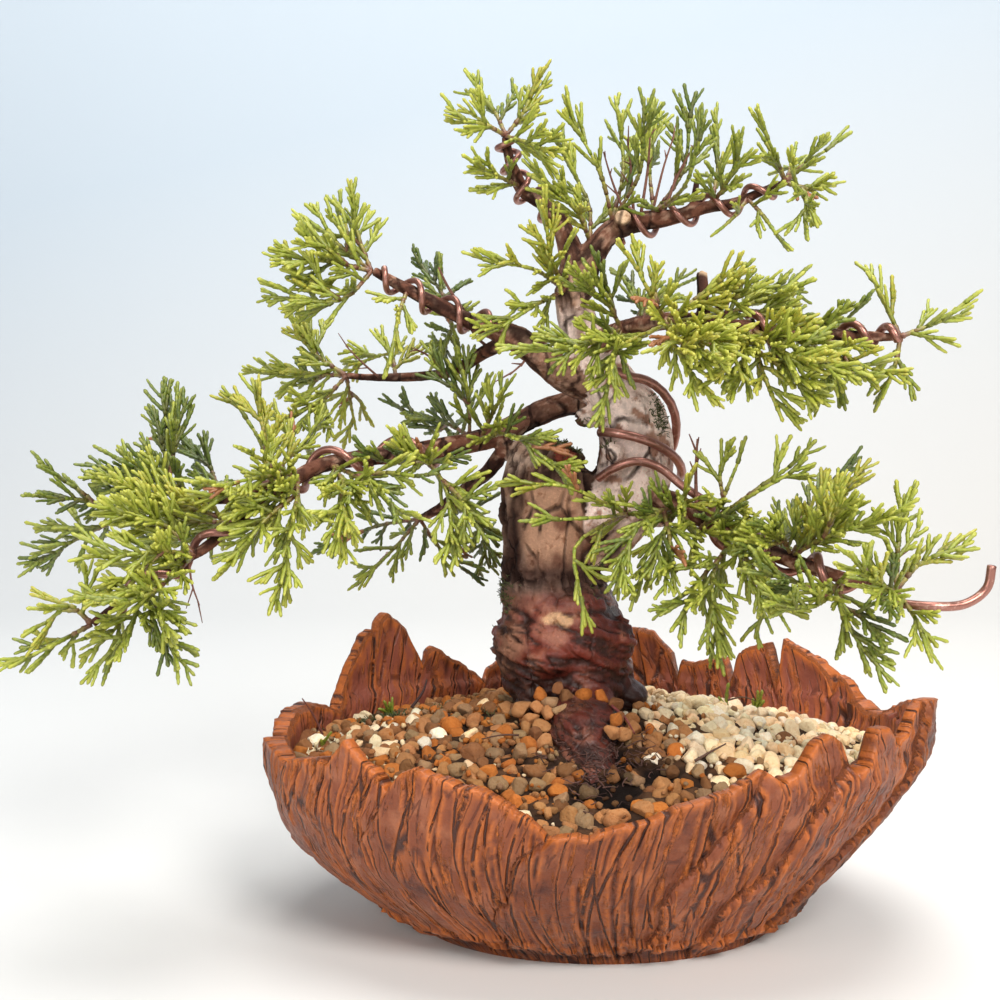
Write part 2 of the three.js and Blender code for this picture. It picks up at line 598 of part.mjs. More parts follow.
// ---------------------------------------------------------------- the wood
function limbSamples(limb, count, grow = 0) {
  const middle = new THREE.CatmullRomCurve3(limb.path.map(vector));
  const girth = new THREE.CatmullRomCurve3(limb.path.map((point) => new THREE.Vector3(point[3], 0, 0)));
  const centres = [];
  const radii = [];
  for (let i = 0; i <= count; i += 1) {
    centres.push(middle.getPoint(i / count));
    radii.push(girth.getPoint(i / count).x + grow);
  }
  return { centres, radii };
}

function limbSolid(limb, grow = 0) {
  const { centres, radii } = limbSamples(limb, limb.rings, grow);
  return toSolid(sweep(centres, radii, limb.sides, limb.lobes));
}

function woodSolid() {
  let wood = null;
  Object.values(LIMBS).forEach((limb) => {
    const solid = limbSolid(limb);
    wood = wood ? wood.add(solid) : solid;
  });
  STUBS.forEach(([from, to, fromRadius, toRadius]) => {
    wood = wood.add(toSolid(sweep([vector(from), vector(to)], [fromRadius, toRadius], STUB_SIDES)));
  });
  return wood;
}

// ---------------------------------------------------------------- the soil
function soilHeight(x, y) {
  const side = SOIL_SIDE_DROP * (Math.abs(x - SOIL_CENTRE[0]) / SOIL_SIDE_REACH) ** SOIL_SIDE_POWER;
  const away = y - SOIL_CENTRE[1];
  const back = SOIL_BACK_DROP * (Math.max(0, away) / SOIL_BACK_REACH) ** SOIL_BACK_POWER;
  const near = Math.exp(-(((x - SOIL_RIDGE_X) / SOIL_RIDGE_WIDTH) ** 2));
  const middle = mix(1 - SOIL_RIDGE_SHARE, 1, near);
  const front = SOIL_FRONT_DROP * (Math.max(0, -away) / SOIL_FRONT_REACH) ** SOIL_FRONT_POWER * middle;
  return SOIL_CENTRE_HEIGHT - side - back - front;
}

// The fill follows the inner wall, a clearance inside it.
function fillSolid() {
  const rows = [...INNER_HEIGHTS].reverse().map((height) => {
    const row = [];
    for (let column = 0; column < SOIL_COLUMNS; column += 1) {
      const angle = (column * 360) / SOIL_COLUMNS;
      row.push(bowlPoint(angle, height, -wallThickness(height) - LAP_DEPTH / 2 - 2 * CLEARANCE));
    }
    return row;
  });
  rows[0].forEach((point) => point.setZ(FLOOR_HEIGHT + CLEARANCE));
  rows.push(rows[rows.length - 1].map((point) => point.clone().setZ(BELLY_HEIGHT + SOIL_SIDE_DROP)));
  return toSolid(skinRows(rows));
}

// Gravel as relief: every third place of a triangular grid is the top of a pebble, the others are gaps.
function gravelSolid() {
  const random = seededRandom(SOIL_SEED);
  const rowStep = (PEBBLE_PITCH / Math.sqrt(3)) * (Math.sqrt(3) / 2);
  const columnStep = PEBBLE_PITCH / Math.sqrt(3);
  const columns = Math.ceil((2 * BELLY_RADIUS) / columnStep) + 1;
  const lines = Math.ceil((2 * BELLY_RADIUS * DEPTH_RATIO) / rowStep) + 1;
  const points = [];
  const triangles = [];
  for (let line = 0; line < lines; line += 1) {
    for (let column = 0; column < columns; column += 1) {
      const offset = (line % 2) * 0.5;
      const isTop = (column + (line % 2 === 0 ? 0 : 2)) % 3 === 0;
      const x = -BELLY_RADIUS + (column + offset) * columnStep + (random() - 0.5) * PEBBLE_JITTER;
      const y = -BELLY_RADIUS * DEPTH_RATIO + line * rowStep + (random() - 0.5) * PEBBLE_JITTER;
      const rise = isTop ? PEBBLE_RISE * mix(PEBBLE_LEAST, 1, random()) : -PEBBLE_GAP * random();
      points.push(new THREE.Vector3(x, y, soilHeight(x, y) + rise));
    }
  }
  const place = (line, column) => line * columns + column;
  for (let line = 0; line < lines - 1; line += 1) {
    for (let column = 0; column < columns - 1; column += 1) {
      const a = place(line, column);
      const b = place(line, column + 1);
      const c = place(line + 1, column);
      const d = place(line + 1, column + 1);
      if (line % 2 === 0) {
        triangles.push([a, b, c], [b, d, c]);
      } else {
        triangles.push([a, b, d], [a, d, c]);
      }
    }
  }
  const edge = [];
  for (let column = 0; column < columns - 1; column += 1) {
    edge.push(place(0, column));
  }
  for (let line = 0; line < lines - 1; line += 1) {
    edge.push(place(line, columns - 1));
  }
  for (let column = columns - 1; column > 0; column -= 1) {
    edge.push(place(lines - 1, column));
  }
  for (let line = lines - 1; line > 0; line -= 1) {
    edge.push(place(line, 0));
  }
  const foot = points.length;
  edge.forEach((corner) => points.push(new THREE.Vector3(points[corner].x, points[corner].y, 0)));
  const centre = points.length;
  points.push(new THREE.Vector3(0, 0, 0));
  edge.forEach((corner, i) => {
    const next = (i + 1) % edge.length;
    triangles.push([corner, foot + i, foot + next], [corner, foot + next, edge[next]]);
    triangles.push([centre, foot + next, foot + i]);
  });
  return toSolid(indexedGeometry(points, triangles));
}

function soilGeometry() {
  let soil = fillSolid().intersect(gravelSolid());
  soil = soil.subtract(limbSolid(LIMBS.lowerTrunk, 2 * CLEARANCE));
  soil = soil.subtract(limbSolid(LIMBS.surfaceRoot, 2 * CLEARANCE));
  const pieces = soil.decompose().sort((a, b) => b.volume() - a.volume());
  return toGeometry(pieces[0]);
}

// ---------------------------------------------------------------- keeping clear
// Everything placed so far is a list of capsules: a straight run with a radius, and the node it belongs to.
const capsules = [];
const barkFacets = [];

function addCapsules(owner, centres, radii) {
  for (let i = 0; i + 1 < centres.length; i += 1) {
    const [from, to] = [centres[i], centres[i + 1]];
    capsules.push({ owner, from, to, fromRadius: radii[i], toRadius: radii[i + 1] });
  }
}

function segmentDistance(p1, q1, p2, q2) {
  const d1 = q1.clone().sub(p1);
  const d2 = q2.clone().sub(p2);
  const r = p1.clone().sub(p2);
  const a = d1.dot(d1);
  const e = d2.dot(d2);
  const f = d2.dot(r);
  const c = d1.dot(r);
  const b = d1.dot(d2);
  const denominator = a * e - b * b;
  let s = denominator > 1e-9 ? THREE.MathUtils.clamp((b * f - c * e) / denominator, 0, 1) : 0;
  let t = (b * s + f) / e;
  if (t < 0) {
    t = 0;
    s = THREE.MathUtils.clamp(-c / a, 0, 1);
  } else if (t > 1) {
    t = 1;
    s = THREE.MathUtils.clamp((b - c) / a, 0, 1);
  }
  const near = p1.clone().addScaledVector(d1, s);
  const far = p2.clone().addScaledVector(d2, t);
  return { distance: near.distanceTo(far), t, far, near };
}

function isClear(owner, from, to, radius) {
  return capsules.every((capsule) => {
    if (capsule.owner === owner) {
      return true;
    }
    const gap = segmentDistance(from, to, capsule.from, capsule.to);
    return gap.distance > radius + mix(capsule.fromRadius, capsule.toRadius, gap.t) + CLEARANCE;
  });
}

// The nearest a point comes to the bark itself, over all its facets.
function barkDistance(point) {
  const nearest = new THREE.Vector3();
  return barkFacets.reduce((least, facet) => {
    facet.closestPointToPoint(point, nearest);
    return Math.min(least, nearest.distanceTo(point));
  }, Infinity);
}

// Brings a stem's foot from the stem's next point in towards the nearest wood, as far as it stays clear.
function seatOnWood(point, towards) {
  let nearest = null;
  capsules.filter((capsule) => capsule.owner === 'trunk').forEach((capsule) => {
    const beside = point.clone().setX(point.x + CLEARANCE);
    const { distance, far } = segmentDistance(point, beside, capsule.from, capsule.to);
    if (!nearest || distance < nearest.distance) {
      nearest = { distance, far };
    }
  });
  const run = nearest.far.clone().sub(towards);
  const steps = Math.floor(run.length() / SEAT_STEP);
  let foot = towards.clone();
  for (let step = 1; step < steps; step += 1) {
    const next = towards.clone().addScaledVector(run, step / steps);
    const isOffBark = barkDistance(next) > SPINE_FOOT_RADIUS + CLEARANCE;
    if (!isOffBark || !isClear('trunk', next, foot, SPINE_FOOT_RADIUS)) {
      break;
    }
    foot = next;
  }
  return foot;
}

// ---------------------------------------------------------------- wires
function wirePath(wire) {
  const limb = LIMBS[wire.limb];
  const middle = new THREE.CatmullRomCurve3(limb.path.map(vector));
  const girth = new THREE.CatmullRomCurve3(limb.path.map((point) => new THREE.Vector3(point[3], 0, 0)));
  const steps = Math.max(5, Math.round(wire.turns * WIRE_STEPS_PER_TURN));
  const points = (wire.lead || []).map(vector);
  let across = null;
  for (let i = 0; i <= steps; i += 1) {
    const place = mix(wire.from, wire.to, i / steps);
    const along = middle.getTangent(place);
    if (!across) {
      const guide = Math.abs(along.y) < 0.9 ? new THREE.Vector3(0, 1, 0) : new THREE.Vector3(1, 0, 0);
      across = guide.cross(along).normalize();
    } else {
      across.addScaledVector(along, -across.dot(along)).normalize();
    }
    const up = along.clone().cross(across);
    const angle = radians(wire.start) + (i / steps) * wire.turns * 2 * Math.PI;
    const coil = girth.getPoint(place).x + wire.radius + CLEARANCE;
    const reach = coil / Math.cos((Math.PI * wire.turns) / steps) + WIRE_SLACK;
    points.push(middle.getPoint(place)
      .addScaledVector(across, Math.cos(angle) * reach)
      .addScaledVector(up, Math.sin(angle) * reach));
  }
  (wire.tail || []).forEach((point) => points.push(vector(point)));
  return points;
}

// ---------------------------------------------------------------- leafy stems
// A spine is a three-sided stem with whorls along it. A whorl is a short band, and needles are drawn out of two in
// three of its facets.
function spineSamples(points) {
  const curve = new THREE.CatmullRomCurve3(points);
  const length = curve.getLength();
  const whorls = Math.max(1, Math.round(length / WHORL_STEP));
  const halfWhorl = WHORL_LENGTH / 2 / length;
  const shares = [0];
  for (let whorl = 0; whorl < whorls; whorl += 1) {
    const middle = (whorl + FIRST_WHORL) / whorls;
    shares.push(middle - halfWhorl, middle + halfWhorl);
  }
  shares.push(1);
  const centres = shares.map((share) => curve.getPointAt(share));
  const radii = shares.map((share) => mix(SPINE_BASE_RADIUS, SPINE_TIP_RADIUS, share));
  radii[0] = SPINE_FOOT_RADIUS;
  return { centres, radii };
}

// The three corners of a needle's tip, turned to lie as nearly as they can over the corners of its facet.
function needleTip(corners, middle, heading, tip) {
  const across = corners[0].clone().sub(middle);
  across.addScaledVector(heading, -across.dot(heading)).normalize();
  const up = heading.clone().cross(across);
  let cosine = 0;
  let sine = 0;
  corners.forEach((corner, i) => {
    const out = corner.clone().sub(middle);
    const angle = Math.atan2(out.dot(up), out.dot(across)) - (i * 2 * Math.PI) / 3;
    cosine += Math.cos(angle);
    sine += Math.sin(angle);
  });
  const turn = Math.atan2(sine, cosine);
  return corners.map((corner, i) => {
    const angle = turn + (i * 2 * Math.PI) / 3;
    return tip.clone()
      .addScaledVector(across, Math.cos(angle) * NEEDLE_RADIUS)
      .addScaledVector(up, Math.sin(angle) * NEEDLE_RADIUS);
  });
}

function leavesOwnSpine(spine, near, tip) {
  const last = spine.centres.length - 1;
  return spine.centres.every((centre, i) => {
    if (i === last) {
      return true;
    }
    const { distance } = segmentDistance(near, tip, centre, spine.centres[i + 1]);
    return distance > spine.radii[i] * SPINE_FLAT + NEEDLE_RADIUS;
  }) && spine.needles.every((needle) => {
    const { distance } = segmentDistance(near, tip, needle.near, needle.tip);
    return distance > NEEDLE_APART;
  });
}

// A heading out of the facet, leaning forward along the spine; null when no length of needle is clear there.
function needleHeading(name, spine, corners, along, random) {
  const middle = corners[0].clone().add(corners[1]).add(corners[2]).divideScalar(3);
  const normal = corners[1].clone().sub(corners[0]).cross(corners[2].clone().sub(corners[0])).normalize();
  for (let attempt = 0; attempt < NEEDLE_TRIES; attempt += 1) {
    const spread = radians(mix(NEEDLE_SPREAD[0], NEEDLE_SPREAD[1], random()));
    const reach = mix(NEEDLE_LENGTH[0], NEEDLE_LENGTH[1], random()) * (1 - NEEDLE_SHORTEN * attempt);
    const sway = new THREE.Vector3(random() - 0.5, random() - 0.5, random() - 0.5 + NEEDLE_LIFT);
    const heading = along.clone().multiplyScalar(Math.cos(spread)).addScaledVector(normal, Math.sin(spread))
      .addScaledVector(sway, NEEDLE_SWAY).normalize();
    const tip = middle.clone().addScaledVector(heading, reach);
    const near = middle.clone().lerp(tip, NEEDLE_FREE_FROM);
    const fits = heading.dot(normal) > NEEDLE_LEAST_RISE && leavesOwnSpine(spine, near, tip);
    if (fits && isClear(name, middle, tip, NEEDLE_BASE_REACH)) {
      return { middle, heading, near, tip };
    }
  }
  return null;
}

function spineSolid(name, spine, seed) {
  const random = seededRandom(seed);
  const frames = sweepFrames(spine.centres);
  const points = [];
  const triangles = [];
  spine.needles = [];
  spine.centres.forEach((centre, i) => {
    for (let side = 0; side < 3; side += 1) {
      const angle = seed + Math.floor((i + 1) / 2) * WHORL_TWIST + (side * 2 * Math.PI) / 3;
      points.push(centre.clone()
        .addScaledVector(frames[i].across, Math.cos(angle) * spine.radii[i])
        .addScaledVector(frames[i].up, Math.sin(angle) * spine.radii[i]));
    }
  });
  const bands = spine.centres.length - 1;
  for (let band = 0; band < bands; band += 1) {
    const isWhorl = band % 2 === 1;
    for (let side = 0; side < 3; side += 1) {
      const a = band * 3 + side;
      const b = band * 3 + ((side + 1) % 3);
      [[a, b, b + 3], [a, b + 3, a + 3]].forEach((facet, half) => {
        const corners = facet.map((corner) => points[corner].clone());
        const sprouts = isWhorl && (2 * side + half + seed) % BARE_FACET !== 0;
        const needle = sprouts ? needleHeading(name, spine, corners, frames[band].along, random) : null;
        if (!needle) {
          triangles.push(facet);
          return;
        }
        const first = points.length;
        points.push(...needleTip(corners, needle.middle, needle.heading, needle.tip));
        for (let i = 0; i < 3; i += 1) {
          const next = (i + 1) % 3;
          triangles.push([facet[i], facet[next], first + next], [facet[i], first + next, first + i]);
        }
        triangles.push([first, first + 1, first + 2]);
        spine.needles.push(needle);
        addCapsules(name, [needle.middle, needle.tip], [NEEDLE_BASE_REACH, NEEDLE_RADIUS]);
      });
    }
  }
  triangles.push([0, 2, 1], [bands * 3, bands * 3 + 1, bands * 3 + 2]);
  return toSolid(indexedGeometry(points, triangles));
}

// ---------------------------------------------------------------- assembly
const group = new THREE.Group();
group.name = 'bonsai';

function addMesh(name, geometry, material) {
  const mesh = new THREE.Mesh(geometry, material);
  mesh.name = name;
  group.add(mesh);
  return mesh;
}

addMesh('pot', bowlGeometry(), clay);
addMesh('soil', soilGeometry(), gravel);
const wood = addMesh('trunk', toGeometry(woodSolid()), bark);

const barkCorners = wood.geometry.attributes.position;
const barkOrder = wood.geometry.index;
for (let i = 0; i < barkOrder.count; i += 3) {
  const facet = new THREE.Triangle();
  const [a, b, c] = [barkOrder.getX(i), barkOrder.getX(i + 1), barkOrder.getX(i + 2)];
  facet.setFromAttributeAndIndices(barkCorners, a, b, c);
  barkFacets.push(facet);
}

Object.values(LIMBS).forEach((limb) => {
  const { centres, radii } = limbSamples(limb, limb.rings);
  addCapsules('trunk', centres, radii);
});
STUBS.forEach(([from, to, fromRadius, toRadius]) => {
  addCapsules('trunk', [vector(from), vector(to)], [fromRadius, toRadius]);
});

Object.entries(WIRES).forEach(([name, wire]) => {
  const path = wirePath(wire);
  addMesh(name, toGeometry(toSolid(sweep(path, path.map(() => wire.radius), WIRE_SIDES))), anodised);
  addCapsules(name, path, path.map(() => wire.radius));
});

const stems = Object.entries(LEAFY_STEMS).map(([name, stem]) => {
  const foot = seatOnWood(vector(stem.foot), vector(stem.spines[0][0]));
  const sampled = stem.spines.map((points) => spineSamples([foot, ...points.map(vector)]));
  return { name, sampled };
});
stems.forEach(({ name, sampled }) => {
  sampled.forEach(({ centres, radii }) => addCapsules(name, centres, radii));
});
stems.forEach(({ name, sampled }, stemIndex) => {
  let body = null;
  sampled.forEach((spine, spineIndex) => {
    const solid = spineSolid(name, spine, STEM_SEED + stemIndex * SEEDS_PER_STEM + spineIndex);
    body = body ? body.add(solid) : solid;
  });
  const pieces = body.decompose().sort((a, b) => b.volume() - a.volume());
  addMesh(`leafy_${name}`, toGeometry(pieces[0]), leaf);
});

export default group;
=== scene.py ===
"""Looks of a small wired juniper bonsai in a torn-rim clay bowl.

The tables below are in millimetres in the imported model's frame: +X right, +Y away from the front, +Z up, and
the origin at the centre of the bowl's flat underside. Meshes are written in metres.
"""

import logging
import math
from dataclasses import dataclass, field
from enum import Enum

import bmesh
import bpy
import numpy as np
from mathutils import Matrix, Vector
from mathutils.geometry import delaunay_2d_cdt


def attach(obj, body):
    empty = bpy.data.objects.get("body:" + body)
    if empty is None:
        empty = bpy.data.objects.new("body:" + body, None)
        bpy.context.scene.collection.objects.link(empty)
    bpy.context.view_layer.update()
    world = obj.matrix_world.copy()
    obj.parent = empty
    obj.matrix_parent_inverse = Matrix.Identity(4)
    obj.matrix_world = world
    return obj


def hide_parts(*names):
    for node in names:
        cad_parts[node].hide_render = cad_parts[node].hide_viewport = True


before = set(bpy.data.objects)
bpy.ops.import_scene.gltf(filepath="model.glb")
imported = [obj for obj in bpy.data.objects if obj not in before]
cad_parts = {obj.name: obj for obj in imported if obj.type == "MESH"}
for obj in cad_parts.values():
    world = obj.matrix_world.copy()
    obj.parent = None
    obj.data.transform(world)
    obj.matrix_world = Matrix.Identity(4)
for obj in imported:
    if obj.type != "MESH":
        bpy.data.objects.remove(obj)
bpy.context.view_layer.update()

LOG = logging.getLogger("bonsai")
MM = 0.001
BODY = "root"

Array = np.ndarray
Colour = tuple[float, float, float]
Place = tuple[float, float, float]
Material = bpy.types.Material
Piece = bpy.types.Object
Random = np.random.Generator


# ---- measured tables
# The torn edge: its height at angles round the bowl from +X.
RIM = {
    5: 54, 10: 52, 14: 48.5, 20: 48, 25: 50.5, 29: 54.5, 31: 55.5, 32.2: 50.5, 34: 55, 38: 59, 43: 61.5,
    46.4: 63.5, 47.2: 51, 48.2: 63, 52: 62, 55.4: 60.5, 57: 57, 57.8: 49, 58.8: 56.5, 63: 56, 69: 55,
    70.2: 50, 71.2: 57, 75.4: 63.5, 80: 64, 86: 61, 90: 54, 93: 60, 98: 62.5, 104: 58, 108: 55, 110.2: 52.5,
    111.4: 49, 113: 51.5, 116: 54.5, 119.5: 58, 122.5: 60, 124.2: 58.5, 125: 54, 126: 58, 128.5: 65.5,
    131: 69, 133: 70.8, 135.4: 68.5, 136.2: 60.5, 137.2: 67, 140: 64.5, 144: 58.5, 148: 50.5, 151: 46,
    155: 48.5, 160: 50.2, 169: 50.4, 175: 48.5, 182: 46.5, 191: 47.7, 198: 46.2, 204: 45, 208: 47.5,
    217: 49.7, 220: 49.2, 224.6: 55.8, 228: 51.5, 233.4: 44.8, 236.4: 50, 239: 51.6, 245: 49, 252.6: 46.4,
    257.7: 41.6, 261.6: 37.6, 268: 38.4, 274: 41, 280: 44.4, 285: 46.2, 290: 48.7, 293.4: 52.2, 296.6: 49.3,
    299.4: 51.4, 302.6: 56.8, 305: 59.4, 308: 56.8, 311.4: 48.8, 314.4: 51, 316.4: 57.8, 318.8: 58.2,
    321.6: 54.6, 323.4: 51.8, 326.6: 55, 330.6: 59.6, 335.4: 61, 342: 60, 350: 58, 358: 56.2,
}
# The angles where one clay sheet laps over the next.
SEAMS = [14, 32.2, 47.2, 57.8, 70.2, 90, 111.4, 125, 151, 182, 204, 233.4, 261.6, 293.4, 311.4, 335.4]

LIMBS = {
    "lowerTrunk": [
        (-4, 14, 29, 12.5), (-4.5, 14, 42, 14.8), (-4.5, 14, 53, 16.2), (-6.5, 14, 62.5, 18.3), (-8, 14, 70.5, 19.5),
        (-9.5, 14, 78, 16.8), (-11.5, 14, 83.5, 13.6), (-11.5, 14, 91.5, 13.5), (-11.5, 14, 101, 13.8),
        (-11.5, 14, 110, 13.9), (-10.5, 14, 117, 11.8), (-8.5, 14, 121, 7.6)],
    "loop": [
        (-7, 14, 90.5, 8.7), (1.5, 13, 99, 10.8), (8.5, 11, 107, 11.2), (11, 10, 117.5, 10.4), (9.5, 10, 127, 9.9),
        (4.5, 11, 134.5, 8.3), (0.5, 12, 142.5, 6.8), (-3, 13, 149.5, 5.9), (-5, 14, 157, 5.2), (-6, 14, 162, 5)],
    "leaderRight": [
        (-5, 14, 159.5, 4.7), (-1.5, 14, 167.5, 4.2), (2.5, 14, 174, 3.5), (7, 14, 177.5, 3.4), (14, 13, 179, 2.9),
        (21, 12, 180, 2.3), (28, 11, 182, 1.9), (36, 10, 183, 1.7), (43, 9, 186, 1.4), (48.5, 9, 188, 1.2)],
    "leaderLeft": [
        (-6, 14, 160.5, 4.4), (-5.5, 15, 168.5, 3.7), (-8.5, 16, 178, 2.9), (-13, 16, 183.5, 2.3),
        (-18.5, 15, 187, 2.1), (-21, 13, 192, 1.8), (-22.5, 12, 196.5, 1.5), (-23, 11, 200, 1.3)],
    "leftPrimary": [
        (2.5, 11, 135.5, 5.5), (-6, 10, 138, 4.9), (-13.5, 8, 143, 4.4), (-20, 6, 148, 3.8), (-26, 6, 150.5, 2.8),
        (-32.5, 5, 153, 2.4), (-41, 3, 157, 2.2), (-49, 1, 161, 1.8), (-56.5, 0, 165, 1.4)],
    "leftMiddle": [
        (-21.5, 8, 148, 2.6), (-28.5, 14, 145, 2.1), (-36, 20, 140.5, 1.7), (-44, 26, 139, 1.6),
        (-52, 30, 138.5, 1.5), (-61, 33, 138.5, 1.2), (-66.5, 34, 139, 1.1)],
    "leftLow": [
        (3, 18, 131.5, 4.5), (-5.5, 22, 131.5, 3.7), (-13.5, 23, 129, 3.6), (-20.5, 20, 125.5, 3.5),
        (-28, 15, 122.5, 3.2), (-38.5, 9, 120.5, 2.9), (-49, 3, 119, 2.6), (-60, -3, 118, 2.4), (-70, -8, 116, 2.2),
        (-78.5, -13, 111, 2), (-87.5, -18, 104.5, 1.7), (-95, -23, 97.5, 1.6), (-104, -27, 92.5, 1.4),
        (-113, -31, 86, 1.3), (-120, -34, 80.5, 1.2)],
    "leftLowBack": [
        (-78, -12, 111.5, 1.7), (-86.5, -8, 108.5, 1.5), (-96, -3, 107.5, 1.4), (-106, 1, 106.5, 1.3),
        (-115.5, 4, 104, 1.2), (-123, 6, 102, 1)],
    "lowerBack": [
        (-17, 12, 119.5, 3), (-22.5, 16, 119.5, 2.6), (-28, 22, 113, 2.3), (-35, 28, 107.5, 1.9),
        (-40.5, 33, 103, 1.7), (-46.5, 37, 99.5, 1.3)],
    "rightMiddle": [
        (-1, 12, 145.5, 3.9), (5.5, 2, 149.5, 3), (12.5, -8, 151.5, 2.5), (21.5, -15, 152, 2.2), (33, -18, 150.5, 2.1),
        (45, -18, 149, 1.9), (56.5, -17, 148.5, 1.7), (66, -16, 148, 1.5), (72.5, -16, 148, 1.1)],
    "rightLow": [
        (12.5, 8, 108, 4.4), (18, 0, 107, 3.3), (25.5, -8, 103.5, 2.7), (33.5, -16, 99.5, 2.4), (42.5, -23, 95.5, 2.2),
        (51, -30, 92.5, 1.9), (59.5, -36, 90.5, 1.5), (66.5, -40, 89, 1.2)],
    "surfaceRoot": [
        (-1.5, 7, 55, 7.8), (-3.5, -4, 50, 10.4), (-3.5, -13, 46, 10.2), (-2, -24, 41, 6.8), (-1, -34, 34, 4)],
}
STUBS = [
    ((-9, 8, 116), (-8, -2, 119), 4.6, 3.6),
    ((25, -16, 151.5), (25, -10, 164), 1.8, 1.5),
    ((7, 12, 178), (7, 7, 179.5), 2.4, 2.1),
    ((25, 11.5, 181), (26.5, 12, 190), 1.3, 0.9),
]
# Small swellings and knots on the wood: the centre and the radius along each axis.
BURRS = [
    ((4.5, 0.5, 119.5), (3.2, 2.6, 2.8)), ((-19, 6, 74), (5, 4, 6)), ((6.5, 6, 70), (4.5, 5, 7)),
    ((-12, -2.5, 66), (6, 3.5, 3.6)), ((-3, 0, 60), (6, 4, 3)), ((-22, 12, 104), (3, 4, 5)),
    ((17, 4, 104), (4, 4, 4.5)), ((-2, 8, 128), (3.6, 3, 3)), ((-7, -14, 47.5), (5, 4.5, 3)),
    ((3.5, -9, 49), (4, 6, 3)), ((-16, 4, 54), (5, 6, 4)), ((9, 10, 55), (5, 7, 4)),
]

WIRES = {
    "wire_loop_high": ("loop", 0.45, 0.3, 0.4, 218, 1.2),
    "wire_loop_outer": ("loop", 0.6, 0.34, 0.3, 290, 1.2),
    "wire_leader_left": ("leaderLeft", 0.34, 0.97, 3.6, 90, 0.8),
    "wire_leader_right": ("leaderRight", 0.3, 0.97, 4.2, 30, 0.8),
    "wire_left_high": ("leftPrimary", 0.52, 0.97, 3.2, 250, 0.8),
    "wire_left_low": ("leftLow", 0.36, 0.98, 5.4, 120, 1),
    "wire_right_middle": ("rightMiddle", 0.52, 0.98, 3.4, 150, 1),
    "wire_right_low": ("rightLow", 0.3, 0.98, 3.6, 160, 1.1),
}
WIRE_LEADS = {"wire_right_low": [(0.6, 1.6, 112.6), (4, -1.2, 115.2), (10, -3, 117.2), (16, -2.6, 115.4),
                                 (21.5, -4.2, 111)]}
WIRE_TAILS = {"wire_right_low": [(74, -44, 86), (82, -43, 86.5), (87, -42, 90), (88, -42, 95)]}

class Habit(Enum):
    """How a leafy stem grows: distance between fronds, and side spines to each spine."""

    OPEN = (4.6, 0)
    THIN = (3.0, 0)
    USUAL = (2.0, 0)
    FULL = (1.8, 1)


@dataclass(frozen=True)
class Stem:
    """A leafy stem: its foot on the bark, the points each spine runs on through, its habit and its light."""

    foot: Place
    spines: list[list[Place]]
    habit: Habit = Habit.USUAL
    # Shaded stems are painted darker: painted shade.
    shaded: bool = False


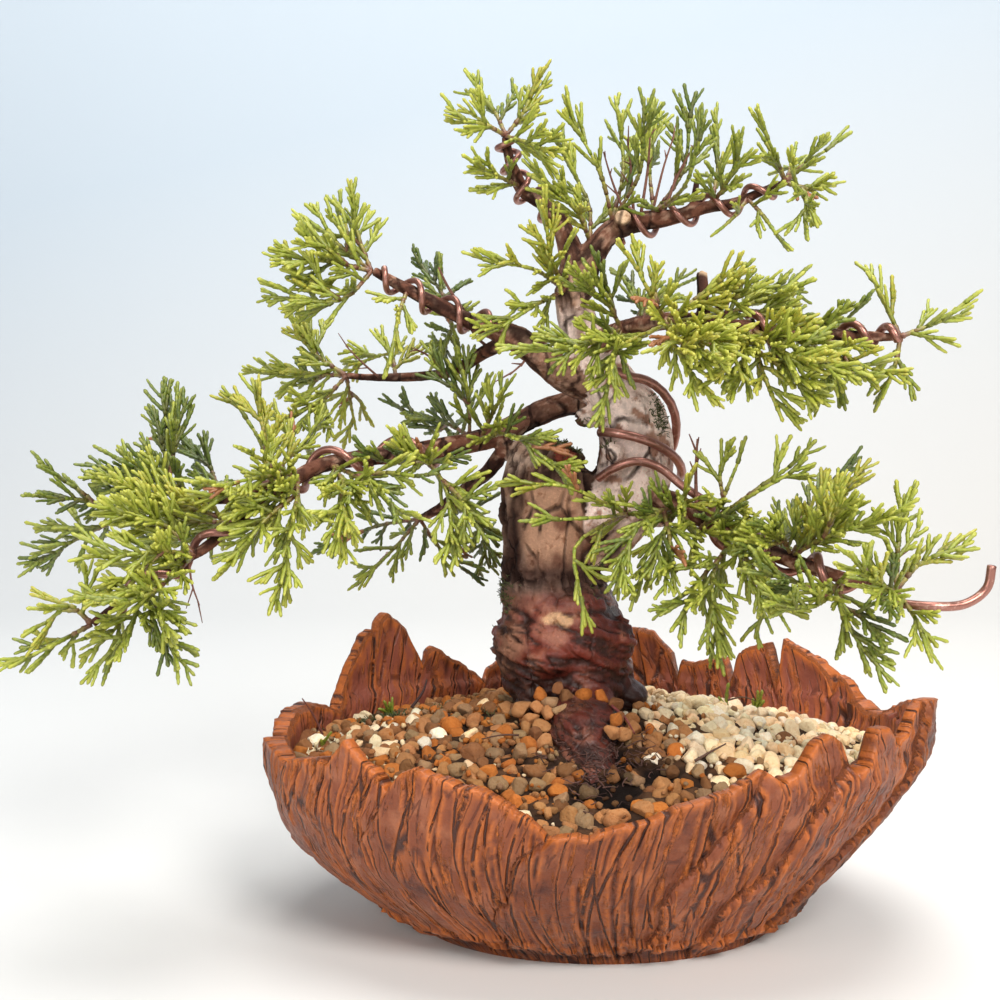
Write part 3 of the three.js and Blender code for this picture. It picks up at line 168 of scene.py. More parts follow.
# Each stem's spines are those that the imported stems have, then finer ones between them.
LEAFY_STEMS = {
    "left_low_tip": Stem((-121.5, -35, 79.5), [[(-126.5, -37, 77), (-132.5, -39, 74)], [(-124.5, -36, 85),
        (-129.5, -38, 81.5)]]),
    "left_low_hanging": Stem((-107, -32, 88.5), [[(-103.5, -38, 82), (-99, -42, 75)], [(-110.5, -36, 80.5),
        (-114.5, -38, 75)]], Habit.FULL),
    "left_low_front": Stem((-96.5, -28, 96), [[(-103, -38, 98), (-113, -46, 97.5)], [(-104.5, -42, 89),
        (-112.5, -48, 88)], [(-104, -26, 103), (-113, -32, 106)]], Habit.FULL),
    "left_low_side": Stem((-92, -14, 103), [[(-101.5, 2, 99), (-113.5, 12, 96)], [(-102, -16, 107),
        (-112, -20, 110)], [(-99, -18, 103), (-108, -24, 103)]], Habit.FULL),
    "left_back_tip": Stem((-125.5, 6, 101), [[(-133.5, 8, 97), (-143.5, 10, 91)], [(-131, 4, 107),
        (-136, -2, 107.5)]], Habit.FULL, shaded=True),
    "left_back_high": Stem((-106.5, 2, 107.5), [[(-117, 4, 113.5), (-131, 4, 113.5)], [(-112, 10, 119),
        (-112.5, 16, 129.5)], [(-112, -2, 111), (-121, -6, 112)], [(-104, -4, 110), (-112, -10, 114)]],
        Habit.FULL, shaded=True),
    "left_back_rear": Stem((-94, -1, 109), [[(-102.5, 18, 116), (-115, 32, 121.5)]], shaded=True),
    "left_centre_front": Stem((-73.5, -14, 114.5), [[(-81, -26, 114.5), (-89.5, -36, 113)],
        [(-73, -26, 108.5), (-74, -34, 99), (-75.5, -38, 89.5)], [(-78, -18, 107), (-84, -24, 101)],
        [(-82, -18, 112), (-91, -22, 110)]], Habit.FULL),
    "left_centre_high": Stem((-80.5, -6, 112.5), [[(-85.5, 4, 121), (-92.5, 10, 131)], [(-79.5, 14, 122),
        (-84.5, 24, 126)]], Habit.FULL),
    "left_centre_right": Stem((-65, -10, 116), [[(-61.5, -24, 111), (-63, -32, 104)], [(-57, -22, 113),
        (-48, -32, 107)]], Habit.FULL),
    "left_near_front": Stem((-44, 0, 118.5), [[(-42, -12, 117), (-48, -20, 121)], [(-38, -12, 111.5),
        (-36, -18, 98.5)]], Habit.FULL),
    "left_near_high": Stem((-32.5, 14, 123), [[(-32.5, 12, 131.5), (-34.5, 12, 140)], [(-41, 28, 127),
        (-52, 38, 129.5)]], Habit.FULL, shaded=True),
    "left_near_right": Stem((-27.5, 8, 124.5), [[(-24.5, -4, 132.5), (-21.5, -12, 134.5)],
        [(-20.5, -8, 123.5), (-10, -14, 115.5)]]),
    "lower_back": Stem((-49, 39, 98), [[(-53.5, 42, 91.5), (-61, 46, 83.5)], [(-42.5, 44, 91.5),
        (-35.5, 48, 84.5)], [(-61, 48, 96), (-71.5, 54, 90.5)]], Habit.THIN, shaded=True),
    "lower_back_side": Stem((-37.5, 34, 105), [[(-30.5, 42, 97.5), (-28.5, 50, 87.5)]], shaded=True),
    "left_middle_tip": Stem((-69, 35, 139), [[(-76, 36, 145.5), (-81, 38, 152.5)], [(-79, 40, 139.5),
        (-88, 42, 139.5)], [(-73, 32, 132), (-79.5, 30, 126)], [(-66, 40, 131), (-65, 44, 124)]], Habit.FULL),
    "left_middle_side": Stem((-52.5, 32, 139.5), [[(-55, 40, 145), (-63.5, 48, 143)]]),
    "left_high_tip": Stem((-59, 0, 165), [[(-67.5, -6, 167), (-76.5, -10, 166.5)], [(-66.5, 2, 173),
        (-70, 4, 179)], [(-63.5, -6, 157.5), (-76.5, -6, 157.5)], [(-60.5, 4, 174), (-62.5, 6, 183.5)]],
        Habit.FULL),
    "left_high_side": Stem((-48, 1, 160), [[(-49.5, -8, 154), (-50.5, -12, 147)]], Habit.THIN),
    "left_high_rear": Stem((-37.5, 6, 155.5), [[(-41, 18, 162.5), (-45, 26, 167)], [(-37.5, 20, 150),
        (-40.5, 28, 144.5)]], shaded=True),
    "top_left": Stem((-23, 11, 201), [[(-28.5, 6, 202.5), (-33.5, 2, 202.5)], [(-18.5, 12, 206.5),
        (-15.5, 14, 213)], [(-26.5, 18, 208.5), (-30.5, 22, 211.5)], [(-18.5, 2, 197.5),
        (-13.5, -4, 194.5)]]),
    "top_left_low": Stem((-19.5, 14, 188), [[(-24.5, 4, 189), (-28.5, -4, 190)]], Habit.THIN),
    "crown_left": Stem((0.5, 14, 172.5), [[(-5, 4, 180.5), (-12.5, -2, 186.5)], [(-1, 18, 183),
        (-7, 24, 196)]]),
    "crown_middle": Stem((5.5, 14, 177.5), [[(1.5, 8, 189.5), (-5, 4, 201)], [(8, 20, 193), (7, 26, 207)],
        [(11, 6, 190), (11, -5, 201)]], Habit.THIN),
    "crown_right": Stem((15.5, 13, 179.5), [[(15, 22, 194.5), (17, 32, 209)], [(23, 14, 192),
        (24.5, 12, 205)], [(21.5, -6, 186), (23.5, -16, 195)]], Habit.THIN, shaded=True),
    "crown_far": Stem((30, 11, 182.5), [[(32.5, 18, 192.5), (33, 24, 204)], [(32.5, 2, 187),
        (34.5, -6, 192.5)]]),
    "top_right": Stem((50, 9, 188.5), [[(53.5, 8, 193), (58.5, 8, 196)], [(44.5, 6, 195.5), (40.5, 4, 201)],
        [(52, 0, 185), (51, -6, 179)], [(52.5, 20, 195.5), (54.5, 26, 201)], [(46, 5, 193), (43, 2, 198)],
        [(54, 5, 186), (58, 2, 183)]]),
    "top_right_low": Stem((39, 9, 184), [[(42, 2, 179), (44.5, -4, 173.5)], [(34, 3, 178), (29, 3, 174)]],
        Habit.THIN),
    "middle_front": Stem((-10, 6, 160.5), [[(-16.5, -2, 165.5), (-26, -8, 166.5)], [(-12, -2.5, 169),
        (-13, -6, 177)], [(-17, -2, 155.5), (-24.5, -6, 150.5)]]),
    "right_inner": Stem((4.5, -3, 150.5), [[(-1, -16, 147), (-12, -24, 143.5)], [(3, -16, 141.5),
        (1, -22, 134.5)], [(1.5, -10, 157), (-2.5, -14, 159.5)]], Habit.FULL),
    "right_front": Stem((15.5, -13, 153), [[(11, -20, 159), (8, -22, 164.5)], [(16.5, -28, 145.5),
        (21.5, -36, 136.5)], [(22.5, -30, 149), (25.5, -40, 144.5)], [(22, -20, 156), (28, -26, 160)],
        [(20, -22, 148), (28, -30, 147)]], Habit.FULL),
    "right_rear": Stem((11, 0, 152), [[(18, 20, 160), (30, 32, 166)], [(13, 24, 159), (10, 38, 166.5)]],
        Habit.THIN, shaded=True),
    "right_middle_high": Stem((28, -14, 152), [[(30.5, -12, 159.5), (34.5, -10, 168)], [(39, -6, 157.5),
        (50.5, 2, 162.5)], [(30, -20, 158), (33, -24, 163)], [(36, -18, 156), (43, -22, 158)]], Habit.FULL),
    "right_middle_low": Stem((36, -21, 149), [[(37, -28, 140.5), (41.5, -32, 128)], [(43, -34, 143),
        (49.5, -40, 140.5)], [(42, -28, 146), (48, -34, 144)], [(32, -28, 144), (28, -34, 140)]], Habit.FULL),
    "right_middle_rear": Stem((46.5, -14, 149.5), [[(55, 4, 150), (66, 14, 147)], [(51, -20, 146),
        (54, -26, 141)], [(53, -16, 151), (60, -20, 152)]], shaded=True),
    "right_middle_under": Stem((54, -19, 147.5), [[(56.5, -18, 140), (60, -16, 132)], [(58, -24, 143),
        (63, -29, 140)]], Habit.FULL),
    "right_middle_tip": Stem((74, -16, 148.5), [[(79, -16, 150.5), (82.5, -16, 152)], [(70, -14, 154.5),
        (67.5, -12, 160)], [(71, -18, 141), (68, -18, 133)]]),
    "right_low_inner": Stem((19.5, -6, 105.5), [[(14, -18, 105.5), (8, -26, 102), (3.5, -30, 92.5)],
        [(15.5, -20, 101.5), (12.5, -26, 94.5)], [(22, -14, 108), (27, -20, 110)], [(24, -16, 101),
        (32, -26, 100)]], Habit.FULL),
    "right_low_high": Stem((28.5, -10, 103), [[(31, -12, 109.5), (34, -12, 117)], [(34, -24, 109),
        (43.5, -30, 115.5)]], Habit.FULL),
    "right_low_hanging": Stem((31, -18, 98.5), [[(26, -28, 91), (26.5, -34, 76.5)], [(36, -36, 91),
        (42, -42, 80)]], Habit.FULL),
    "right_low_middle": Stem((45.5, -24, 95.5), [[(50, -26, 103.5), (58, -26, 112)], [(52, -42, 102.5),
        (60.5, -50, 106)], [(42, -30, 101), (38, -36, 104)], [(50, -30, 101), (54, -38, 105)]], Habit.FULL),
    "right_low_rear": Stem((43, -16, 96), [[(52.5, 4, 99), (65.5, 16, 101)]], Habit.FULL, shaded=True),
    "right_low_under": Stem((54, -36, 90.5), [[(54, -42, 83.5), (58.5, -46, 76)], [(46.5, -50, 87),
        (38, -58, 88)]], Habit.FULL, shaded=True),
    "right_low_tip": Stem((68, -41, 89), [[(71.5, -40, 95), (78, -38, 98)], [(67.5, -38, 100.5),
        (69, -34, 109.5)], [(69.5, -46, 84), (70.5, -48, 80.5)], [(60, -56, 92), (53, -66, 97)]]),
    "front_shoot": Stem((9, -2, 103), [[(1, -14, 107.5), (-8.5, -20, 112), (-16, -22, 112.5)],
        [(0, -14, 101.5), (-6.5, -20, 97), (-5, -22, 85.5)], [(1, -20, 104.5), (-10.5, -28, 104.5)]],
        Habit.OPEN),
}

# Pruning cuts on the wood whose ends are bare: the centre and the reach of the pale wood.
CUT_ENDS = [((25.5, -10, 164), 2.2), ((7, 6.8, 179.5), 2.8), ((26.5, 12, 190), 1.6)]

# Hollows in the soil, painted dark as painted shade: the centre on the ground and the reach.
PITS = [((1, -38), 9.0), ((-56, 27), 8.0), ((5, -22), 6.5), ((12, -30), 5.0)]

# Grains banked up between the trunk and the surface root: place and half width.
HEAP = [
    (-19, -3, 54.5, 2.6), (-15, -6, 54.8, 2.4), (-11.5, -6.2, 56.4, 2.5), (-7.5, -6.8, 57.8, 2.7),
    (-3.2, -6.6, 58.4, 2.3), (0.8, -6.4, 57.8, 2.4), (4.6, -6.6, 56.2, 2.2), (-13.8, -4.2, 58.0, 2.2),
    (-9.6, -4.6, 59.4, 2.1), (-16.6, -8.6, 52.4, 2.4), (-14.4, -11.4, 51.2, 2.5), (-12.0, -9.6, 54.2, 2.4),
    (-9.0, -10.4, 55.4, 2.2), (-15.8, -14.2, 49.6, 2.4), (-13.6, -17.0, 48.6, 2.5), (3.8, -15.0, 53.8, 2.0),
    (6.0, -18.0, 51.2, 2.2), (2.8, -20.0, 51.6, 2.1), (5.4, -12.6, 53.6, 1.9),
]

# Kinds of grain: how common each is, and its colour.
GRAINS_PALE = [(0.45, (0.98, 0.8, 0.53)), (0.35, (0.97, 0.7, 0.41)), (0.2, (0.98, 0.88, 0.68))]
GRAINS_BROWN = [(0.36, (0.46, 0.215, 0.085)), (0.24, (0.5, 0.165, 0.036)), (0.22, (0.26, 0.115, 0.048)),
                (0.18, (0.36, 0.22, 0.115))]

# Moss: the centre, the spread along each axis and the number of strands.
MOSS_PATCHES = [
    ((-7, -1, 124), (9, 5, 4), 220), ((18, 3, 130), (2.5, 5, 6), 170), ((-26, 8, 82), (3, 8, 5), 120),
    ((-53, 26, 47), (14, 7, 2), 320), ((3, 2, 88), (3, 4, 2), 60),
]

# Loose twigs and a thick reddish root on the soil: points, radius and colour.
STRAY_TWIGS = [
    ([(3.5, -8, 56), (6.5, -13, 54), (8.5, -18, 51)], 0.42, (0.22, 0.05, 0.045)),
    ([(-48, 14, 51), (-45, 16, 55), (-44, 17, 58)], 0.5, (0.05, 0.022, 0.02)),
    ([(-71, 8, 45), (-73, 7, 50), (-76, 6, 55)], 0.35, (0.14, 0.04, 0.028)),
    ([(22, -30, 47), (27, -27, 49), (30, -25, 50)], 0.4, (0.12, 0.06, 0.04)),
    ([(-20, -20, 51), (-24, -22, 51.5), (-29, -22, 50.5)], 0.3, (0.1, 0.045, 0.03)),
    ([(36, 14, 53), (41, 18, 53), (44, 18, 52)], 0.3, (0.13, 0.075, 0.045)),
]

# Bare twigs on the branches: start, end, radius and number of spurs.
BARE_TWIGS = [
    ((24.5, -8, 106), (24.6, -8, 123), 0.55, 6), ((10, 12, 181), (8, 8, 199), 0.45, 3),
    ((12, 12, 181), (14, 9, 202), 0.45, 4), ((15, 12, 181), (20, 8, 200), 0.4, 3),
    ((18, 12, 182), (26, 9, 199), 0.45, 4), ((8, 12, 180), (2, 9, 196), 0.4, 3),
    ((-28, 14, 146), (-33, 8, 152), 0.45, 2), ((-40, 22, 141), (-47, 18, 146), 0.4, 3),
    ((-58, 30, 139), (-66, 26, 147), 0.35, 2), ((-16, 8, 146), (-22, 2, 139), 0.45, 3),
    ((30, -17, 153), (33, -14, 163), 0.5, 1), ((-34, 5, 155), (-40, 1, 166), 0.5, 1),
    ((62, -36, 92), (69, -32, 96), 0.4, 2), ((-99, -25, 96), (-96, -28, 84), 0.35, 3),
]

# Green sprigs in the soil: place, lean and number of shoots.
SPRIGS = [(-54, 30, (-0.2, -0.4), 4), (38, 32, (-0.3, -0.3), 3), (46, 30, (0.2, -0.3), 5),
          (-70, -2, (0.2, -0.5), 2)]

# Gaps in the foliage that show the twigs: the centre (x, z), the reach each way, and the share of fronds kept.
GAPS = [
    ((30, 172), (20, 8), 0.15), ((14, 188), (12, 7), 0.4), ((-58, 132), (10, 10), 0.5),
    ((2, 160), (8, 8), 0.5), ((36, 117), (13, 8), 0.12), ((68, 127), (13, 8), 0.15),
    ((-3, 105), (10, 14), 0.3), ((-90, 122), (7, 7), 0.2), ((46, 205), (18, 8), 0.25),
    ((60, 159), (8, 6), 0.3), ((-19, 136), (7, 8), 0.3), ((-58, 146), (6, 10), 0.5),
    ((-92, 128), (9, 10), 0.3), ((42, 77), (8, 8), 0.3), ((-22, 172), (6, 12), 0.3),
    ((-134, 92), (8, 10), 0.4), ((-35, 209), (8, 6), 0.5), ((1, 194), (8, 8), 0.35),
    ((-136, 116), (9, 7), 0.4), ((-88, 166), (8, 7), 0.3), ((-70, 188), (9, 8), 0.45),
    ((64, 182), (8, 7), 0.4), ((60, 122), (9, 6), 0.4), ((-60, 121), (7, 6), 0.4),
    ((-39, 112), (7, 7), 0.3),
]


# ---- small tools
class Noise:
    """Seeded value noise in space, the same at every run."""

    def __init__(self, seed: int) -> None:
        self.seed = seed

    def raw(self, *parts: Array | float) -> Array:
        """Gives an even random value for whole-numbered places.

        Args:
            *parts: Up to three coordinates, rounded down.

        Returns:
            A value from -1 to 1 for each place.
        """
        cells = [np.floor(np.asarray(part)).astype(np.int64) for part in np.broadcast_arrays(*parts)]
        cells += [np.zeros_like(cells[0])] * (3 - len(cells))
        mixed = cells[0] * 374761393 + cells[1] * 668265263 + cells[2] * 974634777 + self.seed * 144269504
        mixed = mixed & 0xFFFFFFFF
        mixed = ((mixed ^ (mixed >> 13)) * 1274126177) & 0xFFFFFFFF
        return ((mixed ^ (mixed >> 16)) & 0xFFFF) / 32767.5 - 1.0

    def at(self, points: Array, scale: float = 1.0) -> Array:
        """Gives smooth noise.

        Args:
            points: Places, one a row.
            scale: Waves per unit of length.

        Returns:
            A value from -1 to 1 for each place.
        """
        spread = points * scale
        cell = np.floor(spread)
        part = spread - cell
        soft = part * part * (3 - 2 * part)
        total = np.zeros(spread.shape[:-1])
        for bits in range(8):
            corner = np.array([bits & 1, (bits >> 1) & 1, (bits >> 2) & 1])
            weight = np.prod(np.where(corner == 1, soft, 1 - soft), axis=-1)
            total += weight * self.raw(*np.moveaxis(cell + corner, -1, 0))
        return total

    def layered(self, points: Array, scale: float, layers: int = 4, gain: float = 0.5) -> Array:
        """Adds finer and fainter noise on coarse noise.

        Args:
            points: Places, one a row.
            scale: Waves per unit of length of the coarsest layer.
            layers: Number of layers.
            gain: Strength of a layer against the one before.

        Returns:
            A value near -1 to 1 for each place.
        """
        total = np.zeros(points.shape[:-1])
        strength, whole = 1.0, 0.0
        for layer in range(layers):
            total += strength * self.at(points + 17.3 * layer, scale * 2**layer)
            whole += strength
            strength *= gain
        return total / whole


def ease(low: float, high: float, value: Array) -> Array:
    """Returns the values mapped so that they rise smoothly from 0 at low to 1 at high."""
    share = np.clip((np.asarray(value) - low) / (high - low), 0, 1)
    return share * share * (3 - 2 * share)


def blend(first: Array, second: Array | Colour, share: Array) -> Array:
    """Returns the first colours, one a row, mixed with a share from 0 to 1 of the second."""
    weight = np.clip(share, 0, 1)[..., None]
    return first * (1 - weight) + np.asarray(second) * weight


def coated(count: int, colour: Array | Colour, *coats: tuple[Array | Colour, Array]) -> Array:
    """Lays colours over a colour.

    Args:
        count: Number of points.
        colour: What lies below, for each point or for all.
        *coats: Colours in turn, each with its share from 0 to 1.

    Returns:
        The mixed colour of each point.
    """
    colour = np.broadcast_to(colour, (count, 3))
    for coat, share in coats:
        colour = blend(colour, coat, share)
    return colour


def beside(*columns: Array) -> Array:
    """Returns values side by side along a new last axis."""
    return np.stack(columns, -1)


def unit(vectors: Array) -> Array:
    """Scales each row to length 1."""
    return vectors / np.maximum(np.linalg.norm(vectors, axis=-1, keepdims=True), 1e-9)


class Spline:
    """A centripetal Catmull-Rom curve through points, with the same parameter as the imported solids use."""

    def __init__(self, points: Array | list) -> None:
        self.points = np.array([p[:3] for p in points], float)

    def at(self, place: Array | float) -> Array:
        """Gives points on the curve.

        Args:
            place: Parameter from 0 at the start to 1 at the end.

        Returns:
            One point a row.
        """
        pts = self.points
        count = len(pts)
        spot = np.clip(np.atleast_1d(np.asarray(place, float)), 0, 1) * (count - 1)
        index = np.minimum(np.floor(spot).astype(int), count - 2)
        part = (spot - index)[:, None]
        padded = np.vstack([2 * pts[0] - pts[1], pts, 2 * pts[-1] - pts[-2]])
        x0, x1, x2, x3 = (padded[index + k] for k in range(4))
        spans = ((x0, x1), (x1, x2), (x2, x3))
        gaps = [np.maximum(np.linalg.norm(b - a, axis=1), 1e-6)[:, None] ** 0.5 for a, b in spans]
        t1 = ((x1 - x0) / gaps[0] - (x2 - x0) / (gaps[0] + gaps[1]) + (x2 - x1) / gaps[1]) * gaps[1]
        t2 = ((x2 - x1) / gaps[1] - (x3 - x1) / (gaps[1] + gaps[2]) + (x3 - x2) / gaps[2]) * gaps[1]
        c2 = -3 * x1 + 3 * x2 - 2 * t1 - t2
        c3 = 2 * x1 - 2 * x2 + t1 + t2
        return x1 + t1 * part + c2 * part**2 + c3 * part**3

    def even(self, count: int) -> Array:
        """Gives points at even spacing along the curve.

        Args:
            count: Number of steps.

        Returns:
            count + 1 points, one a row.
        """
        fine = self.at(np.linspace(0, 1, 60 + 8 * len(self.points)))
        along = np.concatenate([[0], np.cumsum(np.linalg.norm(np.diff(fine, axis=0), axis=1))])
        wanted = np.linspace(0, along[-1], count + 1)
        return np.stack([np.interp(wanted, along, fine[:, k]) for k in range(3)], axis=1)

    def length(self) -> float:
        """Returns the curve's length."""
        fine = self.at(np.linspace(0, 1, 60))
        return float(np.linalg.norm(np.diff(fine, axis=0), axis=1).sum())


def frames_along(points: Array) -> tuple[Array, Array, Array]:
    """Carries a pair of directions along a path so that it turns as little as it can.

    Args:
        points: The path, one point a row.

    Returns:
        The directions along, across and up at each point.
    """
    along = np.empty_like(points)
    along[1:-1] = points[2:] - points[:-2]
    along[0], along[-1] = points[1] - points[0], points[-1] - points[-2]
    along = unit(along)
    across = np.empty_like(points)
    guide = np.array([0, 1.0, 0]) if abs(along[0, 1]) < 0.9 else np.array([1.0, 0, 0])
    across[0] = unit(np.cross(guide, along[0]))
    for i in range(1, len(points)):
        side = across[i - 1] - along[i] * np.dot(across[i - 1], along[i])
        across[i] = side / np.linalg.norm(side)
    return along, across, np.cross(along, across)


def limb_radii(path: list, place: Array) -> Array:
    """Gives a limb's radius at parameters along its table row."""
    return np.interp(place * (len(path) - 1), range(len(path)), [p[3] for p in path])


def ring_faces(rows: int, around: int, closed: bool = True) -> Array:
    """Joins rows of points into four-sided faces.

    Args:
        rows: Number of rows.
        around: Points in a row.
        closed: Whether a row runs right round.

    Returns:
        Corner numbers, four a row.
    """
    columns = around if closed else around - 1
    row, column = np.meshgrid(np.arange(rows - 1), np.arange(columns), indexing="ij")
    following = (column + 1) % around
    a, b = row * around + column, row * around + following
    return beside(a, b, b + around, a + around).reshape(-1, 4)


def cap_faces(first: int, around: int, flip: bool) -> Array:
    """Closes a ring of points with a fan.

    Args:
        first: Number of the ring's first point.
        around: Points in the ring.
        flip: Whether the fan faces the other way.

    Returns:
        Corner numbers, three a row.
    """
    side = np.arange(1, around - 1)
    fan = np.stack([np.full(around - 2, first), first + side, first + side + 1], axis=1)
    return fan[:, ::-1] if flip else fan


def tube_faces(rows: int, sides: int) -> list[Array]:
    """Returns the faces of a tube whose ends are closed."""
    last = (rows - 1) * sides
    return [ring_faces(rows, sides), cap_faces(0, sides, True), cap_faces(last, sides, False)]


def tube(points: Array, radii: Array, sides: int, shape: Array | None = None) -> tuple[Array, list[Array]]:
    """Sweeps a ring along a path and closes both ends.

    Args:
        points: The path, one point a row.
        radii: The radius at each point.
        sides: Points in the ring.
        shape: Optional factor on the radius for each row and side.

    Returns:
        The points and the faces.
    """
    _, across, up = frames_along(points)
    angle = np.arange(sides) * 2 * math.pi / sides
    reach = radii[:, None] * (np.ones((len(points), sides)) if shape is None else shape)
    ring = (points[:, None] + across[:, None] * (np.cos(angle) * reach)[..., None]
            + up[:, None] * (np.sin(angle) * reach)[..., None])
    return ring.reshape(-1, 3), tube_faces(len(points), sides)


class Draft:
    """Gathers points, faces and four painted values for each point, and writes them as one mesh."""

    def __init__(self) -> None:
        self.points: list[Array] = []
        self.paint: list[Array] = []
        self.grain: list[Array] = []
        self.faces: dict[int, list[Array]] = {3: [], 4: []}
        self.count = 0

    def add(self, points: Array, faces: list[Array], paint: Array | tuple,
            grain: Array | tuple = (0, 0, 0, 1)) -> None:
        """Adds a piece.

        Args:
            points: Points in millimetres, one a row.
            faces: Arrays of three or four corner numbers a row, counted within these points.
            paint: Four values for each point, or four for all.
            grain: Four more values that a material may read, such as a place along the grain.
        """
        for group in faces:
            if len(group):
                self.faces[group.shape[1]].append(group + self.count)
        self.points.append(points)
        self.paint.append(np.broadcast_to(np.asarray(paint, float), (len(points), 4)))
        self.grain.append(np.broadcast_to(np.asarray(grain, float), (len(points), 4)))
        self.count += len(points)

    def build(self, name: str, material: Material) -> Piece:
        """Writes the mesh object, shaded smooth.

        Args:
            name: The object's name.
            material: Its material.

        Returns:
            The new object, in the scene.
        """
        points = np.concatenate(self.points) * MM
        triangles, quads = (np.concatenate([np.zeros((0, k), int), *self.faces[k]]) for k in (3, 4))
        mesh = bpy.data.meshes.new(name)
        mesh.vertices.add(len(points))
        mesh.vertices.foreach_set("co", points.astype(np.float32).ravel())
        loops = np.concatenate([triangles.ravel(), quads.ravel()]).astype(np.int32)
        starts = np.concatenate([np.arange(len(triangles)) * 3, triangles.size + np.arange(len(quads)) * 4])
        mesh.loops.add(len(loops))
        mesh.loops.foreach_set("vertex_index", loops)
        mesh.polygons.add(len(starts))
        mesh.polygons.foreach_set("loop_start", starts.astype(np.int32))
        mesh.update(calc_edges=True)
        mesh.validate()
        mesh.polygons.foreach_set("use_smooth", np.ones(len(mesh.polygons), bool))
        for attribute, values in (("paint", self.paint), ("grain", self.grain)):
            layer = mesh.color_attributes.new(attribute, "FLOAT_COLOR", "POINT")
            layer.data.foreach_set("color", np.concatenate(values).astype(np.float32).ravel())
        mesh.materials.append(material)
        piece = bpy.data.objects.new(name, mesh)
        bpy.context.scene.collection.objects.link(piece)
        return piece


def own(piece: Piece, slot: str, *nodes: str) -> None:
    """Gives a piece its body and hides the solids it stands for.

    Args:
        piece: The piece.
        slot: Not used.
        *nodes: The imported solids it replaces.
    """
    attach(piece, BODY)
    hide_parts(*nodes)
    LOG.info("%s: %d faces", piece.name, len(piece.data.polygons))


# ---- materials
Socket = bpy.types.NodeSocket
Value = Socket | float | Colour


